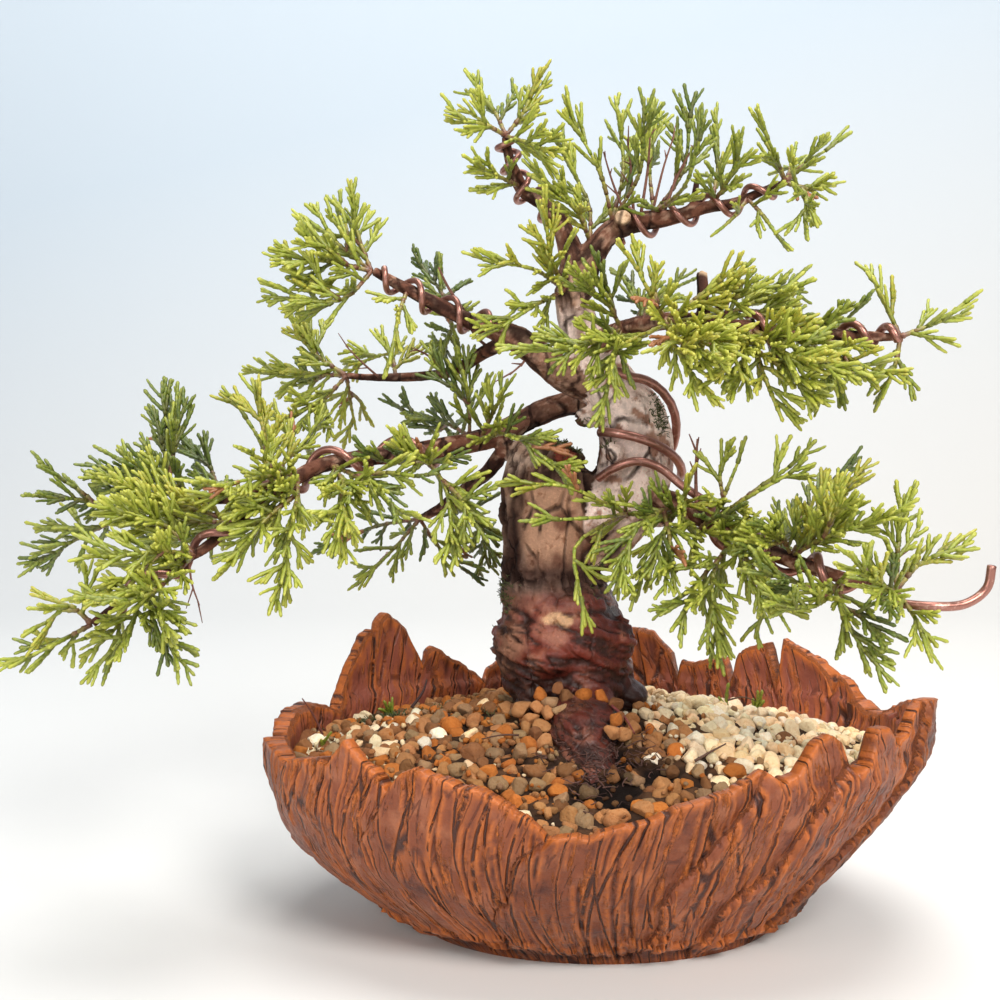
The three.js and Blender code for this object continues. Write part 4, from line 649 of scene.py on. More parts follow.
class Shader:
    """A node material written as a few calls. Sizes are millimetres on the object."""

    def __init__(self, name: str) -> None:
        self.material = bpy.data.materials.new(name)
        self.material.use_nodes = True
        self.tree = self.material.node_tree
        self.surface = self.tree.nodes["Principled BSDF"]
        self.place = self.tree.nodes.new("ShaderNodeTexCoord").outputs["Object"]

    def put(self, target: Socket, value: Value) -> None:
        """Links or sets a socket.

        Args:
            target: The input socket.
            value: An output socket, a number or a colour.
        """
        if isinstance(value, Socket):
            self.tree.links.new(value, target)
        elif isinstance(value, tuple) and len(value) == 3 and target.type == "RGBA":
            target.default_value = (*value, 1.0)
        else:
            target.default_value = value

    def set(self, **values: Value) -> None:
        """Sets the surface's own sockets, with underscores for spaces."""
        for name, value in values.items():
            self.put(self.surface.inputs[name.replace("_", " ")], value)

    def node(self, kind: str, inputs: dict[str | int, Value], **settings: str) -> bpy.types.Node:
        """Makes a node.

        Args:
            kind: Its kind, without the first word that all have.
            inputs: What each input is set or linked to.
            **settings: Its own settings.

        Returns:
            The node.
        """
        node = self.tree.nodes.new(f"ShaderNode{kind}")
        for name, value in settings.items():
            setattr(node, name, value)
        for name, value in inputs.items():
            self.put(node.inputs[name], value)
        return node

    def paint(self, name: str = "paint") -> tuple[Socket, ...]:
        """Returns the painted red, green, blue and alpha, and the painted colour."""
        painted = self.node("Attribute", {}, attribute_name=name).outputs
        split = self.node("SeparateColor", {0: painted["Color"]}).outputs
        return split[0], split[1], split[2], painted["Alpha"], painted["Color"]

    def mapped(self, place: Socket | None, **settings: Colour) -> Socket:
        """Returns a place, or the object's own if there is none, scaled or turned."""
        return self.node("Mapping", {"Vector": place or self.place, **settings}).outputs[0]

    def noise(self, size: float, detail: float = 3, roughness: float = 0.55, stretch: Colour = (1, 1, 1),
              place: Socket | None = None) -> Socket:
        """Gives noise from 0 to 1.

        Args:
            size: About the width of a feature.
            detail: Number of finer layers.
            roughness: Strength of each against the one before.
            stretch: The scale along each axis.
            place: The place, if not the object's own.

        Returns:
            The noise.
        """
        inputs = {"Scale": 1 / (size * MM), "Detail": detail, "Roughness": roughness}
        return self.node("TexNoise", {"Vector": self.mapped(place, Scale=stretch), **inputs}).outputs["Fac"]

    def cells(self, size: float, place: Socket | None = None, feature: str = "F1") -> Socket:
        """Returns the distance from the middles of cells about size across, or from what feature names."""
        inputs = {"Vector": place or self.place, "Scale": 1 / (size * MM)}
        return self.node("TexVoronoi", inputs, feature=feature).outputs["Distance"]

    def cell_edges(self, size: float, stretch: Colour, warp: float, place: Socket | None = None) -> Socket:
        """Gives the distance from the borders of warped cells.

        Args:
            size: About the width of a cell.
            stretch: The scale along each axis.
            warp: How far the borders wander.
            place: The place, if not the object's own.

        Returns:
            The distance.
        """
        spot = self.mapped(place, Scale=stretch)
        wander = self.node("TexNoise", {"Vector": spot, "Scale": 1 / (size * MM), "Detail": 3}).outputs["Color"]
        shift = self.node("VectorMath", {0: wander, 1: (warp * MM,) * 3, 2: spot}, operation="MULTIPLY_ADD")
        return self.cells(size, shift.outputs[0], "DISTANCE_TO_EDGE")

    def span(self, value: Socket, low: float, high: float, start: float = 0.0, end: float = 1.0) -> Socket:
        """Returns value mapped from low..high to start..end, held at both ends."""
        ends = {"From Min": low, "From Max": high, "To Min": start, "To Max": end}
        return self.node("MapRange", {"Value": value, **ends}).outputs[0]

    def maths(self, operation: str, first: Value, second: Value = 0.0) -> Socket:
        """Returns the result of a maths node."""
        return self.node("Math", {0: first, 1: second}, operation=operation).outputs[0]

    def times(self, first: Value, second: Value) -> Socket:
        """Returns a product."""
        return self.maths("MULTIPLY", first, second)

    def mix(self, share: Value, first: Value, second: Value, kind: str = "MIX") -> Socket:
        """Returns two colours mixed."""
        inputs = {"Factor": share, 6: first, 7: second}
        return self.node("Mix", inputs, data_type="RGBA", blend_type=kind).outputs[2]

    def coats(self, colour: Value, *layers: tuple[Value, Value]) -> Socket:
        """Returns a colour with others mixed over it in turn, each given with its share."""
        for share, layer in layers:
            colour = self.mix(share, colour, layer)
        return colour

    def scaled(self, colour: Socket | Colour, share: Socket) -> Socket:
        """Returns a colour made lighter or darker by a factor."""
        return self.node("VectorMath", {0: colour, "Scale": share}, operation="SCALE").outputs[0]

    def bump(self, height: Socket, depth: float, strength: float = 1.0) -> None:
        """Raises the surface, over any bump already there.

        Args:
            height: The relief, from 0 to 1.
            depth: Its height in millimetres.
            strength: How much of it is used.
        """
        node = self.node("Bump", {"Strength": strength, "Distance": depth * MM, "Height": height})
        normal = self.surface.inputs["Normal"]
        if normal.is_linked:
            self.put(node.inputs["Normal"], normal.links[0].from_socket)
        self.put(normal, node.outputs[0])


@dataclass(frozen=True)
class ClayFinish:
    """Fired clay. Paint holds the dark grooves with painted shade under the lapped sheet edges and the hem, the bare
    warm edges, the inside and each sheet's tone; grain holds a place across and along the scored lines, in metres."""

    # Near black, for the scored lines and for the painted shade under the lapped sheet edges and the hem.
    crack: Colour = (0.028, 0.009, 0.009)
    body: Colour = (0.2, 0.052, 0.02)
    burnt: Colour = (0.08, 0.02, 0.012)
    tan: Colour = (0.32, 0.11, 0.052)
    edge: Colour = (0.56, 0.15, 0.026)
    # The inside clay: its own colour, set lighter than the outside as painted light on the directly lit inner faces.
    inside: Colour = (0.3, 0.085, 0.055)
    rough: float = 0.38
    score_width: float = 6.5
    hair_width: float = 3.2
    torn_width: float = 2.2
    along: Colour = (1.0, 0.13, 1.0)
    across: Colour = (1.0, 0.16, 1.0)
    torn_along: Colour = (1.0, 0.12, 1.0)
    cross_lean: float = 0.2

    def material(self) -> Material:
        """Returns the material."""
        s = Shader("fired_clay")
        crack, edge, inside, tone, _ = s.paint()
        *_, lines = s.paint("grain")
        fine = s.noise(1.2, 5, 0.65)
        broad = s.noise(9, 4, 0.6)
        patches = s.noise(7, 4, 0.65)
        specks = s.noise(0.6, 2)
        score = s.cell_edges(self.score_width, self.along, 0.6, lines)
        leaning = s.mapped(lines, Rotation=(0, 0, self.cross_lean))
        cross = s.cell_edges(self.hair_width, self.across, 0.3, leaning)
        torn = s.noise(self.torn_width, 5, 0.7, self.torn_along, lines)
        open_score = s.times(s.span(score, 0.012, 0.035, 1.0, 0.0), s.span(patches, 0.42, 0.5, 0.1, 1.0))
        open_cross = s.times(s.span(cross, 0.015, 0.05, 1.0, 0.0), s.span(patches, 0.53, 0.46))
        rough_band = s.times(s.span(torn, 0.56, 0.61), s.span(broad, 0.38, 0.5))
        colour = s.coats(
            self.body,
            (s.span(broad, 0.52, 0.66, 0.0, 0.8), self.tan),
            (s.span(broad, 0.46, 0.32), self.burnt),
            # inner faces: own clay colour, partly painted light
            (s.times(inside, 0.8), self.inside),
            (s.times(rough_band, s.span(fine, 0.34, 0.6, 0.3, 0.95)), self.edge),
            (s.times(edge, s.span(fine, 0.3, 0.6, 0.35, 1.0)), self.edge),
            (s.span(score, 0.1, 0.03, 0.0, 0.35), self.edge),
            (s.times(open_cross, 0.65), self.burnt),
            (s.times(open_score, 0.9), self.crack),
            # First painted value: dark grooves, and painted shade under the lapped sheet edges and below the hem.
            (s.span(crack, 0.15, 0.85), self.crack),
        )
        colour = s.scaled(colour, s.span(tone, 0, 1, 0.8, 1.18))
        rough = s.span(fine, 0.3, 0.8, self.rough - 0.12, self.rough + 0.18)
        s.set(Base_Color=colour, Roughness=rough, Specular_IOR_Level=0.34)
        s.bump(broad, 1.2, 0.35)
        s.bump(s.times(rough_band, fine), 0.9, 0.9)
        s.bump(s.times(open_score, -1.0), 0.6, 0.9)
        s.bump(s.times(open_cross, -1.0), 0.25, 0.7)
        s.bump(fine, 0.35, 0.5)
        s.bump(specks, 0.1, 0.5)
        return s.material


@dataclass(frozen=True)
class GrainFinish:
    """Porous soil grains, whose colours are painted."""

    rough: float = 0.94
    pit: float = 0.9
    shade: Colour = (0.86, 0.74, 0.6)

    def material(self) -> Material:
        """Returns the material."""
        s = Shader("soil_grains")
        *_, colour = s.paint()
        fine = s.noise(0.9, 5, 0.7)
        toned = s.mix(s.span(fine, 0.3, 0.52), s.mix(1.0, colour, self.shade, "MULTIPLY"), colour)
        s.set(Base_Color=toned, Roughness=self.rough, Specular_IOR_Level=0.2)
        s.bump(fine, 0.6, 0.7)
        s.bump(s.span(s.cells(self.pit), 0.05, 0.5), 0.14, 0.5)
        return s.material


@dataclass(frozen=True)
class BarkFinish:
    """Bark: paint holds its colour and, as alpha, its gloss. Fine cracks part it into flakes."""

    rough_dry: float = 0.78
    rough_wet: float = 0.26
    flake_size: float = 8.0
    flake_stretch: Colour = (1.0, 1.0, 0.55)
    crack: Colour = (0.022, 0.009, 0.007)
    shade: Colour = (0.58, 0.46, 0.4)

    def material(self) -> Material:
        """Returns the material."""
        s = Shader("juniper_bark")
        *_, gloss, colour = s.paint()
        fine = s.noise(0.8, 5, 0.7)
        flake = s.noise(2.4, 4, 0.62)
        gap = s.cell_edges(self.flake_size, self.flake_stretch, 2.2)
        gate = s.span(s.noise(14, 3, 0.6), 0.44, 0.58)
        open_crack = s.times(s.span(gap, 0.012, 0.06, 1.0, 0.0), gate)
        open_crack = s.times(open_crack, s.span(gloss, 0.2, 0.9, 1.0, 0.35))
        dark = s.mix(1.0, colour, self.shade, "MULTIPLY")
        light = s.scaled(colour, s.span(fine, 0.48, 0.8, 1.0, 1.5))
        toned = s.coats(dark, (s.span(flake, 0.32, 0.44), light), (s.times(open_crack, 0.9), self.crack))
        rough = s.maths("SUBTRACT", self.rough_dry, s.times(gloss, self.rough_dry - self.rough_wet))
        s.set(Base_Color=toned, Roughness=rough, Specular_IOR_Level=s.span(gloss, 0.1, 0.9, 0.12, 0.42))
        s.bump(s.maths("SUBTRACT", 1.0, open_crack), 0.9, 0.9)
        s.bump(flake, 0.7, 0.65)
        s.bump(fine, 0.3, 0.65)
        return s.material


@dataclass(frozen=True)
class LeafFinish:
    """Scale-leaf shoots: paint holds the tip, the brightness (with painted shade), the dryness and the woodiness."""

    old_and_shaded_green: Colour = (0.045, 0.085, 0.012)
    body: Colour = (0.235, 0.3, 0.022)
    tip: Colour = (0.52, 0.52, 0.07)
    gold: Colour = (0.48, 0.36, 0.03)
    dry: Colour = (0.37, 0.15, 0.06)
    twig: Colour = (0.125, 0.042, 0.026)
    twig_light: Colour = (0.29, 0.14, 0.085)
    rough: float = 0.42

    def material(self) -> Material:
        """Returns the material."""
        s = Shader("scale_leaves")
        tip, shade, dry, wood, _ = s.paint()
        fine = s.noise(1.0, 4, 0.6)
        # Dim sprays and inner parts take the dark green, painted shade; tips turn yellow-green as young growth, more
        # on bright sprays as painted light.
        colour = s.coats(
            self.old_and_shaded_green,
            (s.span(shade, 0.0, 0.6), self.body),
            (s.times(s.span(tip, 0.1, 1.0), s.span(shade, 0.1, 0.75, 0.15, 1.0)), self.tip),
            (s.span(shade, 0.9, 1.0, 0.0, 0.55), self.gold),
            (s.span(fine, 0.28, 0.6, 0.35, 0.0), self.old_and_shaded_green),
            (dry, self.dry),
            (wood, s.mix(s.span(fine, 0.4, 0.66), self.twig, self.twig_light)),
        )
        rough = s.span(fine, 0.3, 0.7, self.rough - 0.08, self.rough + 0.14)
        s.set(Base_Color=colour, Roughness=rough, Specular_IOR_Level=0.6)
        s.bump(fine, 0.16, 0.5)
        return s.material


@dataclass(frozen=True)
class WireFinish:
    """Anodised aluminium wire."""

    colour: Colour = (0.36, 0.165, 0.13)
    worn: Colour = (0.66, 0.45, 0.385)
    rough: float = 0.32

    def material(self) -> Material:
        """Returns the material."""
        s = Shader("anodised_wire")
        scuff = s.noise(1.3, 4, 0.7)
        colour = s.mix(s.span(scuff, 0.56, 0.76), self.colour, self.worn)
        rough = s.span(scuff, 0.3, 0.8, self.rough - 0.06, self.rough + 0.14)
        s.set(Base_Color=colour, Metallic=0.8, Roughness=rough)
        s.bump(s.noise(0.35, 2), 0.04, 0.35)
        return s.material


@dataclass(frozen=True)
class FibreFinish:
    """Moss, root hairs and bits of twig, whose colours are painted."""

    rough: float = 0.85

    def material(self) -> Material:
        """Returns the material."""
        s = Shader("fibres")
        *_, colour = s.paint()
        fine = s.noise(0.5, 3)
        s.set(Base_Color=s.scaled(colour, s.span(fine, 0.3, 0.7, 0.75, 1.2)), Roughness=self.rough)
        s.bump(fine, 0.1, 0.5)
        return s.material


# ---- the bowl
@dataclass
class Bowl:
    """The torn-rim clay bowl, folded from scored sheets. Lengths are millimetres and angles degrees."""

    foot: float = 46
    belly: float = 84
    belly_height: float = 50
    belly_power: float = 1.8
    depth_ratio: float = 0.81
    shift: float = -4.5
    shift_top: float = 46
    lean: float = 0.12
    wall_rim: float = 2.8
    wall_belly: float = 4.4
    wall_floor: float = 7
    floor: float = 7
    lap: float = 2.2
    lap_sweep: float = 16
    score_lean: float = 16
    lean_height: float = 52
    groove_pitch: float = 2.3
    groove_depth: float = 1.15
    hem_height: float = 3.6
    hem_depth: float = 1.9
    drain_radius: float = 4
    drain_circle: float = 24
    drain_sides: int = 24
    inner_columns: int = 366
    outer_rows: int = 56
    inner_rows: int = 24
    noise: Noise = Noise(5)

    def rim(self, degrees: Array) -> Array:
        """Returns the height of the torn edge at angles."""
        first = min(RIM)
        turned = np.mod(degrees - first, 360) + first
        return np.interp(turned, [*RIM, first + 360], [*RIM.values(), RIM[first]])

    def radius(self, height: Array) -> Array:
        """Returns the long half-width of the outside at a height."""
        share = np.clip(height, 0, self.belly_height) / self.belly_height
        swell = 1 - (1 - share) ** self.belly_power
        above = np.maximum(0, height - self.belly_height)
        return self.foot + (self.belly - self.foot) * swell + above * self.lean

    def centre_x(self, height: Array) -> Array:
        """Returns how far the middle of the bowl has shifted sideways at a height."""
        return self.shift * np.sin(math.pi * np.clip(height / self.shift_top, 0, 1))

    def wall(self, height: Array) -> Array:
        """Returns the wall's thickness at a height."""
        share = np.clip((height - self.floor) / (self.belly_height - self.floor) * 2, 0, 1)
        low = self.wall_floor + (self.wall_belly - self.wall_floor) * share
        return np.where(height > self.belly_height, self.wall_rim, low)

    def lining(self, height: Array) -> Array:
        """Returns the long half-width of the inside at a height."""
        return self.radius(height) - self.wall(height) - self.lap / 2

    def point(self, degrees: Array, height: Array, offset: Array | float) -> Array:
        """Returns places on the bowl's side, offset outwards."""
        radius = self.radius(height) + offset
        angle = np.radians(degrees)
        x = self.centre_x(height) + radius * np.cos(angle)
        return beside(x, self.depth_ratio * radius * np.sin(angle), height)

    def turned(self, line: Array, height: Array) -> Array:
        """Returns the angle of a scored line at a height; the lines lean over towards the bowl's narrow front."""
        turn = np.radians(line)
        lean = -self.score_lean * np.sin(2 * turn) * (0.7 + 0.4 * np.cos(turn))
        return line + lean * (1 - height / self.lean_height)

    def torn(self, line: Array) -> Array:
        """Returns the height at which each scored line meets the torn edge."""
        height = np.linspace(20, 115, 951)[:, None]
        over = height >= self.rim(self.turned(line[None], height))
        return height[np.argmax(over, axis=0), 0]

    def sheets(self, degrees: Array, share: Array) -> tuple[Array, Array, Array]:
        """Finds where a place lies on the overlapping sheets.

        Args:
            degrees: Angle round the bowl.
            share: Height as a share of the rim's height there.

        Returns:
            Degrees past the sheet's seam, the sheet's width in degrees, and the sheet's number.
        """
        turn = np.radians(degrees)
        wobble = self.noise.layered(beside(np.cos(turn) * 5, np.sin(turn) * 5, share * 4), 1.0, 5, 0.6)
        turned = np.mod(degrees + (self.lap_sweep + 7 * wobble) * (1 - share) - SEAMS[0], 360)
        edges = np.array([*SEAMS, SEAMS[0] + 360]) - SEAMS[0]
        sheet = np.clip(np.searchsorted(edges, turned, side="right") - 1, 0, len(SEAMS) - 1)
        return turned - edges[sheet], edges[sheet + 1] - edges[sheet], sheet

    def grooves(self, line: Array, height: Array, sheet: Array, face: int) -> tuple[Array, Array]:
        """Draws the deep scored lines of the sheets.

        Args:
            line: Angle at which the line through a place meets the top.
            height: The place's height.
            sheet: The sheet's number.
            face: 0 for the outside and 1 for the inside.

        Returns:
            The depth of the grooves and the height of the burrs beside them, both from 0 to 1.
        """
        key = sheet + 40 * face
        rise = height / self.lean_height
        spot = (line + 5 * self.noise.raw(sheet, 3) * (1 - rise)) / self.groove_pitch
        spot = spot + 0.14 * self.noise.layered(beside(line * 0.2, height * 0.07, key * 7.7), 1.0, 4, 0.6)
        deep, burr = np.zeros(spot.shape), np.zeros(spot.shape)
        for step in (-2, -1, 0, 1, 2):
            line_number = np.floor(spot) + step
            own_lean = 0.9 * self.noise.raw(line_number, key, 4) * (rise - 0.5)
            off = spot - line_number - 0.5 - 0.45 * self.noise.raw(line_number, key, 1) - own_lean
            depth = 0.5 + 0.5 * self.noise.raw(line_number, key, 2)
            width = 0.12 + 0.05 * self.noise.raw(line_number, key, 3)
            run = beside(line_number * 3.7, height * 0.075 + 9 * depth, key * 3.1)
            gate = ease(-0.15, 0.05, self.noise.at(run, 1.0))
            deep = np.maximum(deep, np.exp(-((off / width) ** 2)) * gate * (0.35 + 0.65 * depth))
            burr = np.maximum(burr, np.exp(-(((np.abs(off) - 2.3 * width) / width) ** 2)) * gate)
        return deep, burr

    def outside(self, lines: Array, rim: Array) -> tuple[list[tuple], Array]:
        """Makes the rows of the outside, from the foot to the rim.

        Args:
            lines: The columns' angles at the top.
            rim: The rim's height at each.

        Returns:
            Each row's points, paint and grain, and the offset of the last row.
        """
        layers, offset = [], rim * 0
        right = ease(-0.1, 0.7, np.cos(np.radians(lines + 25)))
        for share in np.linspace(0, 1, self.outer_rows) ** 0.9:
            level = np.full(lines.shape, share)
            height = rim * share
            angles = self.turned(lines, height)
            past, width, sheet = self.sheets(angles, level)
            deep, burr = self.grooves(lines, height, sheet, 0)
            place = self.point(angles, height, 0)
            rough = self.noise.layered(place, 0.16, 4)
            crumbs = self.noise.layered(place, 0.42, 3)
            hem = self.hem_height * (1 + 0.4 * self.noise.raw(sheet, 9))
            hem = hem + 4.5 * self.noise.layered(place, 0.22, 4, 0.7)
            below = 1 - ease(-0.6, 0.8, height - hem)
            hem_lip = np.exp(-(((height - hem - 1.6) / 1.8) ** 2))
            deep, burr = deep * (1 - 0.7 * ease(0.94, 1.0, level)), burr * (1 - ease(0.94, 1.0, level))
            under_edge = np.exp(-((width - past) / 1.1))
            relief = 0.85 * rough + (0.35 + 0.45 * right) * crumbs + 0.25 * burr + 0.2
            relief = relief - self.groove_depth * deep * (1 - 0.6 * below) - self.hem_depth * below
            relief = relief + (0.6 + 2.6 * crumbs) * hem_lip - 0.5 * under_edge + 0.4 * np.exp(-past / 1.6)
            fade = ease(0, 0.06, level)
            offset = fade * (self.lap * (1 - past / width) * ease(0, 1.1, past) - self.lap / 2 + relief)
            # First painted value: the grooves painted dark, plus painted shade under each sheet's lapped edge and
            # below the hem.
            hollow = np.clip(1.15 * deep - 0.2 + 0.35 * under_edge + 0.7 * below, 0, 1)
            bare = np.clip(0.7 * burr + 0.8 * ease(0.955, 1.0, level) + 0.5 * hem_lip, 0, 1)
            tone = 0.5 + 0.5 * self.noise.raw(sheet, 5) + 0.25 * rough
            paint = beside(hollow * fade, bare, level * 0, tone)
            layers.append((self.point(angles, height, offset), paint, self.grain(lines, height, sheet)))
        return layers, offset

    def grain(self, line: Array, height: Array, sheet: Array) -> Array:
        """Gives the place across and along the scored lines, in metres, for the finish."""
        line = line + 5 * self.noise.raw(sheet, 3) * (1 - height / self.lean_height)
        return beside(np.radians(line) * self.belly * MM, height * MM, sheet * 0.37, line * 0 + 1)

    def inside(self, lines: Array, rim: Array) -> list[tuple]:
        """Makes the rows of the inside, from the rim to the floor.

        Args:
            lines: The columns' angles at the top.
            rim: The rim's height at each.

        Returns:
            Each row's points, paint and grain.
        """
        layers = []
        for part in np.linspace(0, 1, self.inner_rows) ** 1.25:
            height = (rim - 0.8) * (1 - part) + 30 * part
            angles = self.turned(lines, height)
            sheet = self.sheets(angles, height / rim)[2]
            deep, burr = self.grooves(lines, height, sheet, 1)
            fade = ease(0, 0.1, np.full(lines.shape, part))
            rough = self.noise.layered(self.point(angles, height, 0), 0.2, 3)
            relief = fade * (0.8 * deep - 0.25 * burr - 0.35 * rough)
            row = self.point(angles, height, -self.wall(height) - self.lap / 2 + relief)
            paint = beside(deep * 0.8, np.maximum(burr * 0.8, 1 - fade), angles * 0 + 1, 0.6 + rough * 0.5)
            layers.append((row, paint, self.grain(lines, height, sheet + 20)))
        for height in (20.0, self.floor):
            level = np.full(lines.shape, height)
            row = self.point(self.turned(lines, level), level, -self.wall(level) - self.lap / 2)
            layers.append((row, np.tile([0.2, 0, 1, 0.5], (len(row), 1)), self.grain(lines, level, sheet + 20)))
        return layers

    def build(self) -> None:
        """Makes the bowl."""
        inner_angles = np.arange(self.inner_columns) * 360 / self.inner_columns
        angles = np.arange(self.inner_columns * 4) * 90 / self.inner_columns
        turn = np.radians(angles)
        nicks = self.noise.layered(beside(np.cos(turn), np.sin(turn), turn * 0) * 60, 0.5, 3)
        rim = self.torn(angles) + np.minimum(0.3, 1.3 * nicks)
        outer, offset = self.outside(angles, rim)
        inner_offset = -self.wall(rim) - self.lap / 2
        middle, half = (offset + inner_offset) / 2, (offset - inner_offset) / 2
        turned = self.turned(angles, rim)
        for lift in (math.radians(50), math.radians(130)):
            edge = self.point(turned, rim + 0.6 * math.sin(lift) - 0.2, middle + half * math.cos(lift))
            outer.append((edge, np.tile([0, 0.8, 0.3, 0.5], (len(edge), 1)), outer[-1][2]))
        lining = self.inside(inner_angles, rim[::4])
        outer_count = len(outer) * len(angles)
        last = outer_count - len(angles)
        column = np.arange(self.inner_columns)
        o = [last + (4 * column + k) % len(angles) for k in range(5)]
        i = [outer_count + (column + k) % self.inner_columns for k in range(2)]
        fan = ((o[0], o[1], i[0]), (o[1], o[2], i[0]), (o[2], o[3], i[1]), (o[3], o[4], i[1]), (o[2], i[1], i[0]))
        faces = [ring_faces(len(outer), len(angles)), *[beside(*corners) for corners in fan],
                 ring_faces(len(lining), self.inner_columns) + outer_count]
        points, paint, grain = (np.concatenate(part) for part in zip(*outer, *lining))
        draft = Draft()
        draft.add(points, faces, paint, grain)
        self.add_floor(draft, outer[0][0], 0.0, True)
        self.add_floor(draft, lining[-1][0], self.floor, False)
        for circle in self.drain_circles():
            wall = np.concatenate([np.column_stack([circle, np.full(len(circle), h)]) for h in (self.floor, 0)])
            draft.add(wall, [ring_faces(2, len(circle))], (0.2, 0.4, 0, 0.5))
        own(draft.build("bowl", ClayFinish().material()), "clay", "pot")

    def drain_circles(self) -> list[Array]:
        """Returns the outlines of the three drain holes."""
        angle = np.linspace(0, 2 * math.pi, self.drain_sides, endpoint=False)
        outline = self.drain_radius * beside(np.cos(angle), np.sin(angle))
        turns = [math.radians(90 + 120 * k) for k in range(3)]
        return [outline + self.drain_circle * np.array([math.cos(t), math.sin(t)]) for t in turns]

    def add_floor(self, draft: Draft, edge: Array, height: float, down: bool) -> None:
        """Closes the bowl at a level with a flat face round the drain holes.

        Args:
            draft: The mesh being made.
            edge: The ring of points that the face ends at.
            height: The level of the face.
            down: Whether it faces down.
        """
        rings = [edge[:, :2], *self.drain_circles()]
        points = [Vector(p) for ring in rings for p in ring]
        first = np.cumsum([0] + [len(ring) for ring in rings])
        loops = [list(range(first[k], first[k + 1]))[:: 1 if k == 0 else -1] for k in range(len(rings))]
        corners, _, faces, *_ = delaunay_2d_cdt(points, [], loops, 2, 1e-5)
        places = np.array([(c.x, c.y, height) for c in corners])
        triangles = np.array([f for f in faces if len(f) == 3])
        middle = places[triangles].mean(axis=1)[:, :2]
        keep = np.ones(len(triangles), bool)
        for circle in self.drain_circles():
            keep &= np.linalg.norm(middle - circle.mean(axis=0), axis=1) > self.drain_radius * 0.97
        a, b, c = (places[triangles[:, k]] for k in range(3))
        up = np.cross(b - a, c - a)[:, 2] > 0
        triangles[up == down] = triangles[up == down][:, ::-1]
        draft.add(places, [triangles[keep]], (0.15, 0.1, 0, 0.5))


# ---- the wood
@dataclass
class Near:
    """What is known of places near the wood, one a row."""

    limb: Array
    travelled: Array
    angle: Array
    radius: Array
    gap: Array
    out: Array


class WoodField:
    """Finds, for a place near the wood, the limb it belongs to and where on that limb it lies."""

    STEPS = 8

    def __init__(self) -> None:
        runs = []
        for number, path in enumerate(LIMBS.values()):
            count = self.STEPS * (len(path) - 1)
            place = np.linspace(0, 1, count + 1)
            centres = Spline(path).at(place)
            radii = limb_radii(path, place)
            _, across, up = frames_along(centres)
            travelled = np.concatenate([[0], np.cumsum(np.linalg.norm(np.diff(centres, axis=0), axis=1))])
            runs.append((centres[:-1], centres[1:], radii[:-1], radii[1:], np.full(count, number),
                         travelled[:-1], across[:-1], up[:-1]))
        joined = [np.concatenate(column) for column in zip(*runs)]
        self.start, self.end, self.first, self.last, self.limb, self.offset, self.across, self.up = joined

    def find(self, points: Array) -> Near:
        """Looks up places.

        Args:
            points: Places in millimetres, one a row.

        Returns:
            The limb, length along it, angle round it, its radius, the gap to its surface and the way out of it.
        """
        parts = []
        run = self.end - self.start
        squared = np.maximum((run**2).sum(axis=1), 1e-9)
        for chunk in np.array_split(points, max(1, len(points) // 4000)):
            rel = chunk[:, None] - self.start[None]
            part = np.clip((rel * run).sum(-1) / squared, 0, 1)
            near = rel - part[..., None] * run
            distance = np.linalg.norm(near, axis=-1)
            radius = self.first + (self.last - self.first) * part
            best = np.argmin(distance - radius, axis=1)
            row = np.arange(len(chunk))
            off = near[row, best]
            angle = np.arctan2((off * self.up[best]).sum(-1), (off * self.across[best]).sum(-1))
            parts.append((self.limb[best], self.offset[best] + part[row, best] * np.sqrt(squared[best]), angle,
                          radius[row, best], (distance - radius)[row, best], unit(off)))
        return Near(*(np.concatenate(column) for column in zip(*parts)))


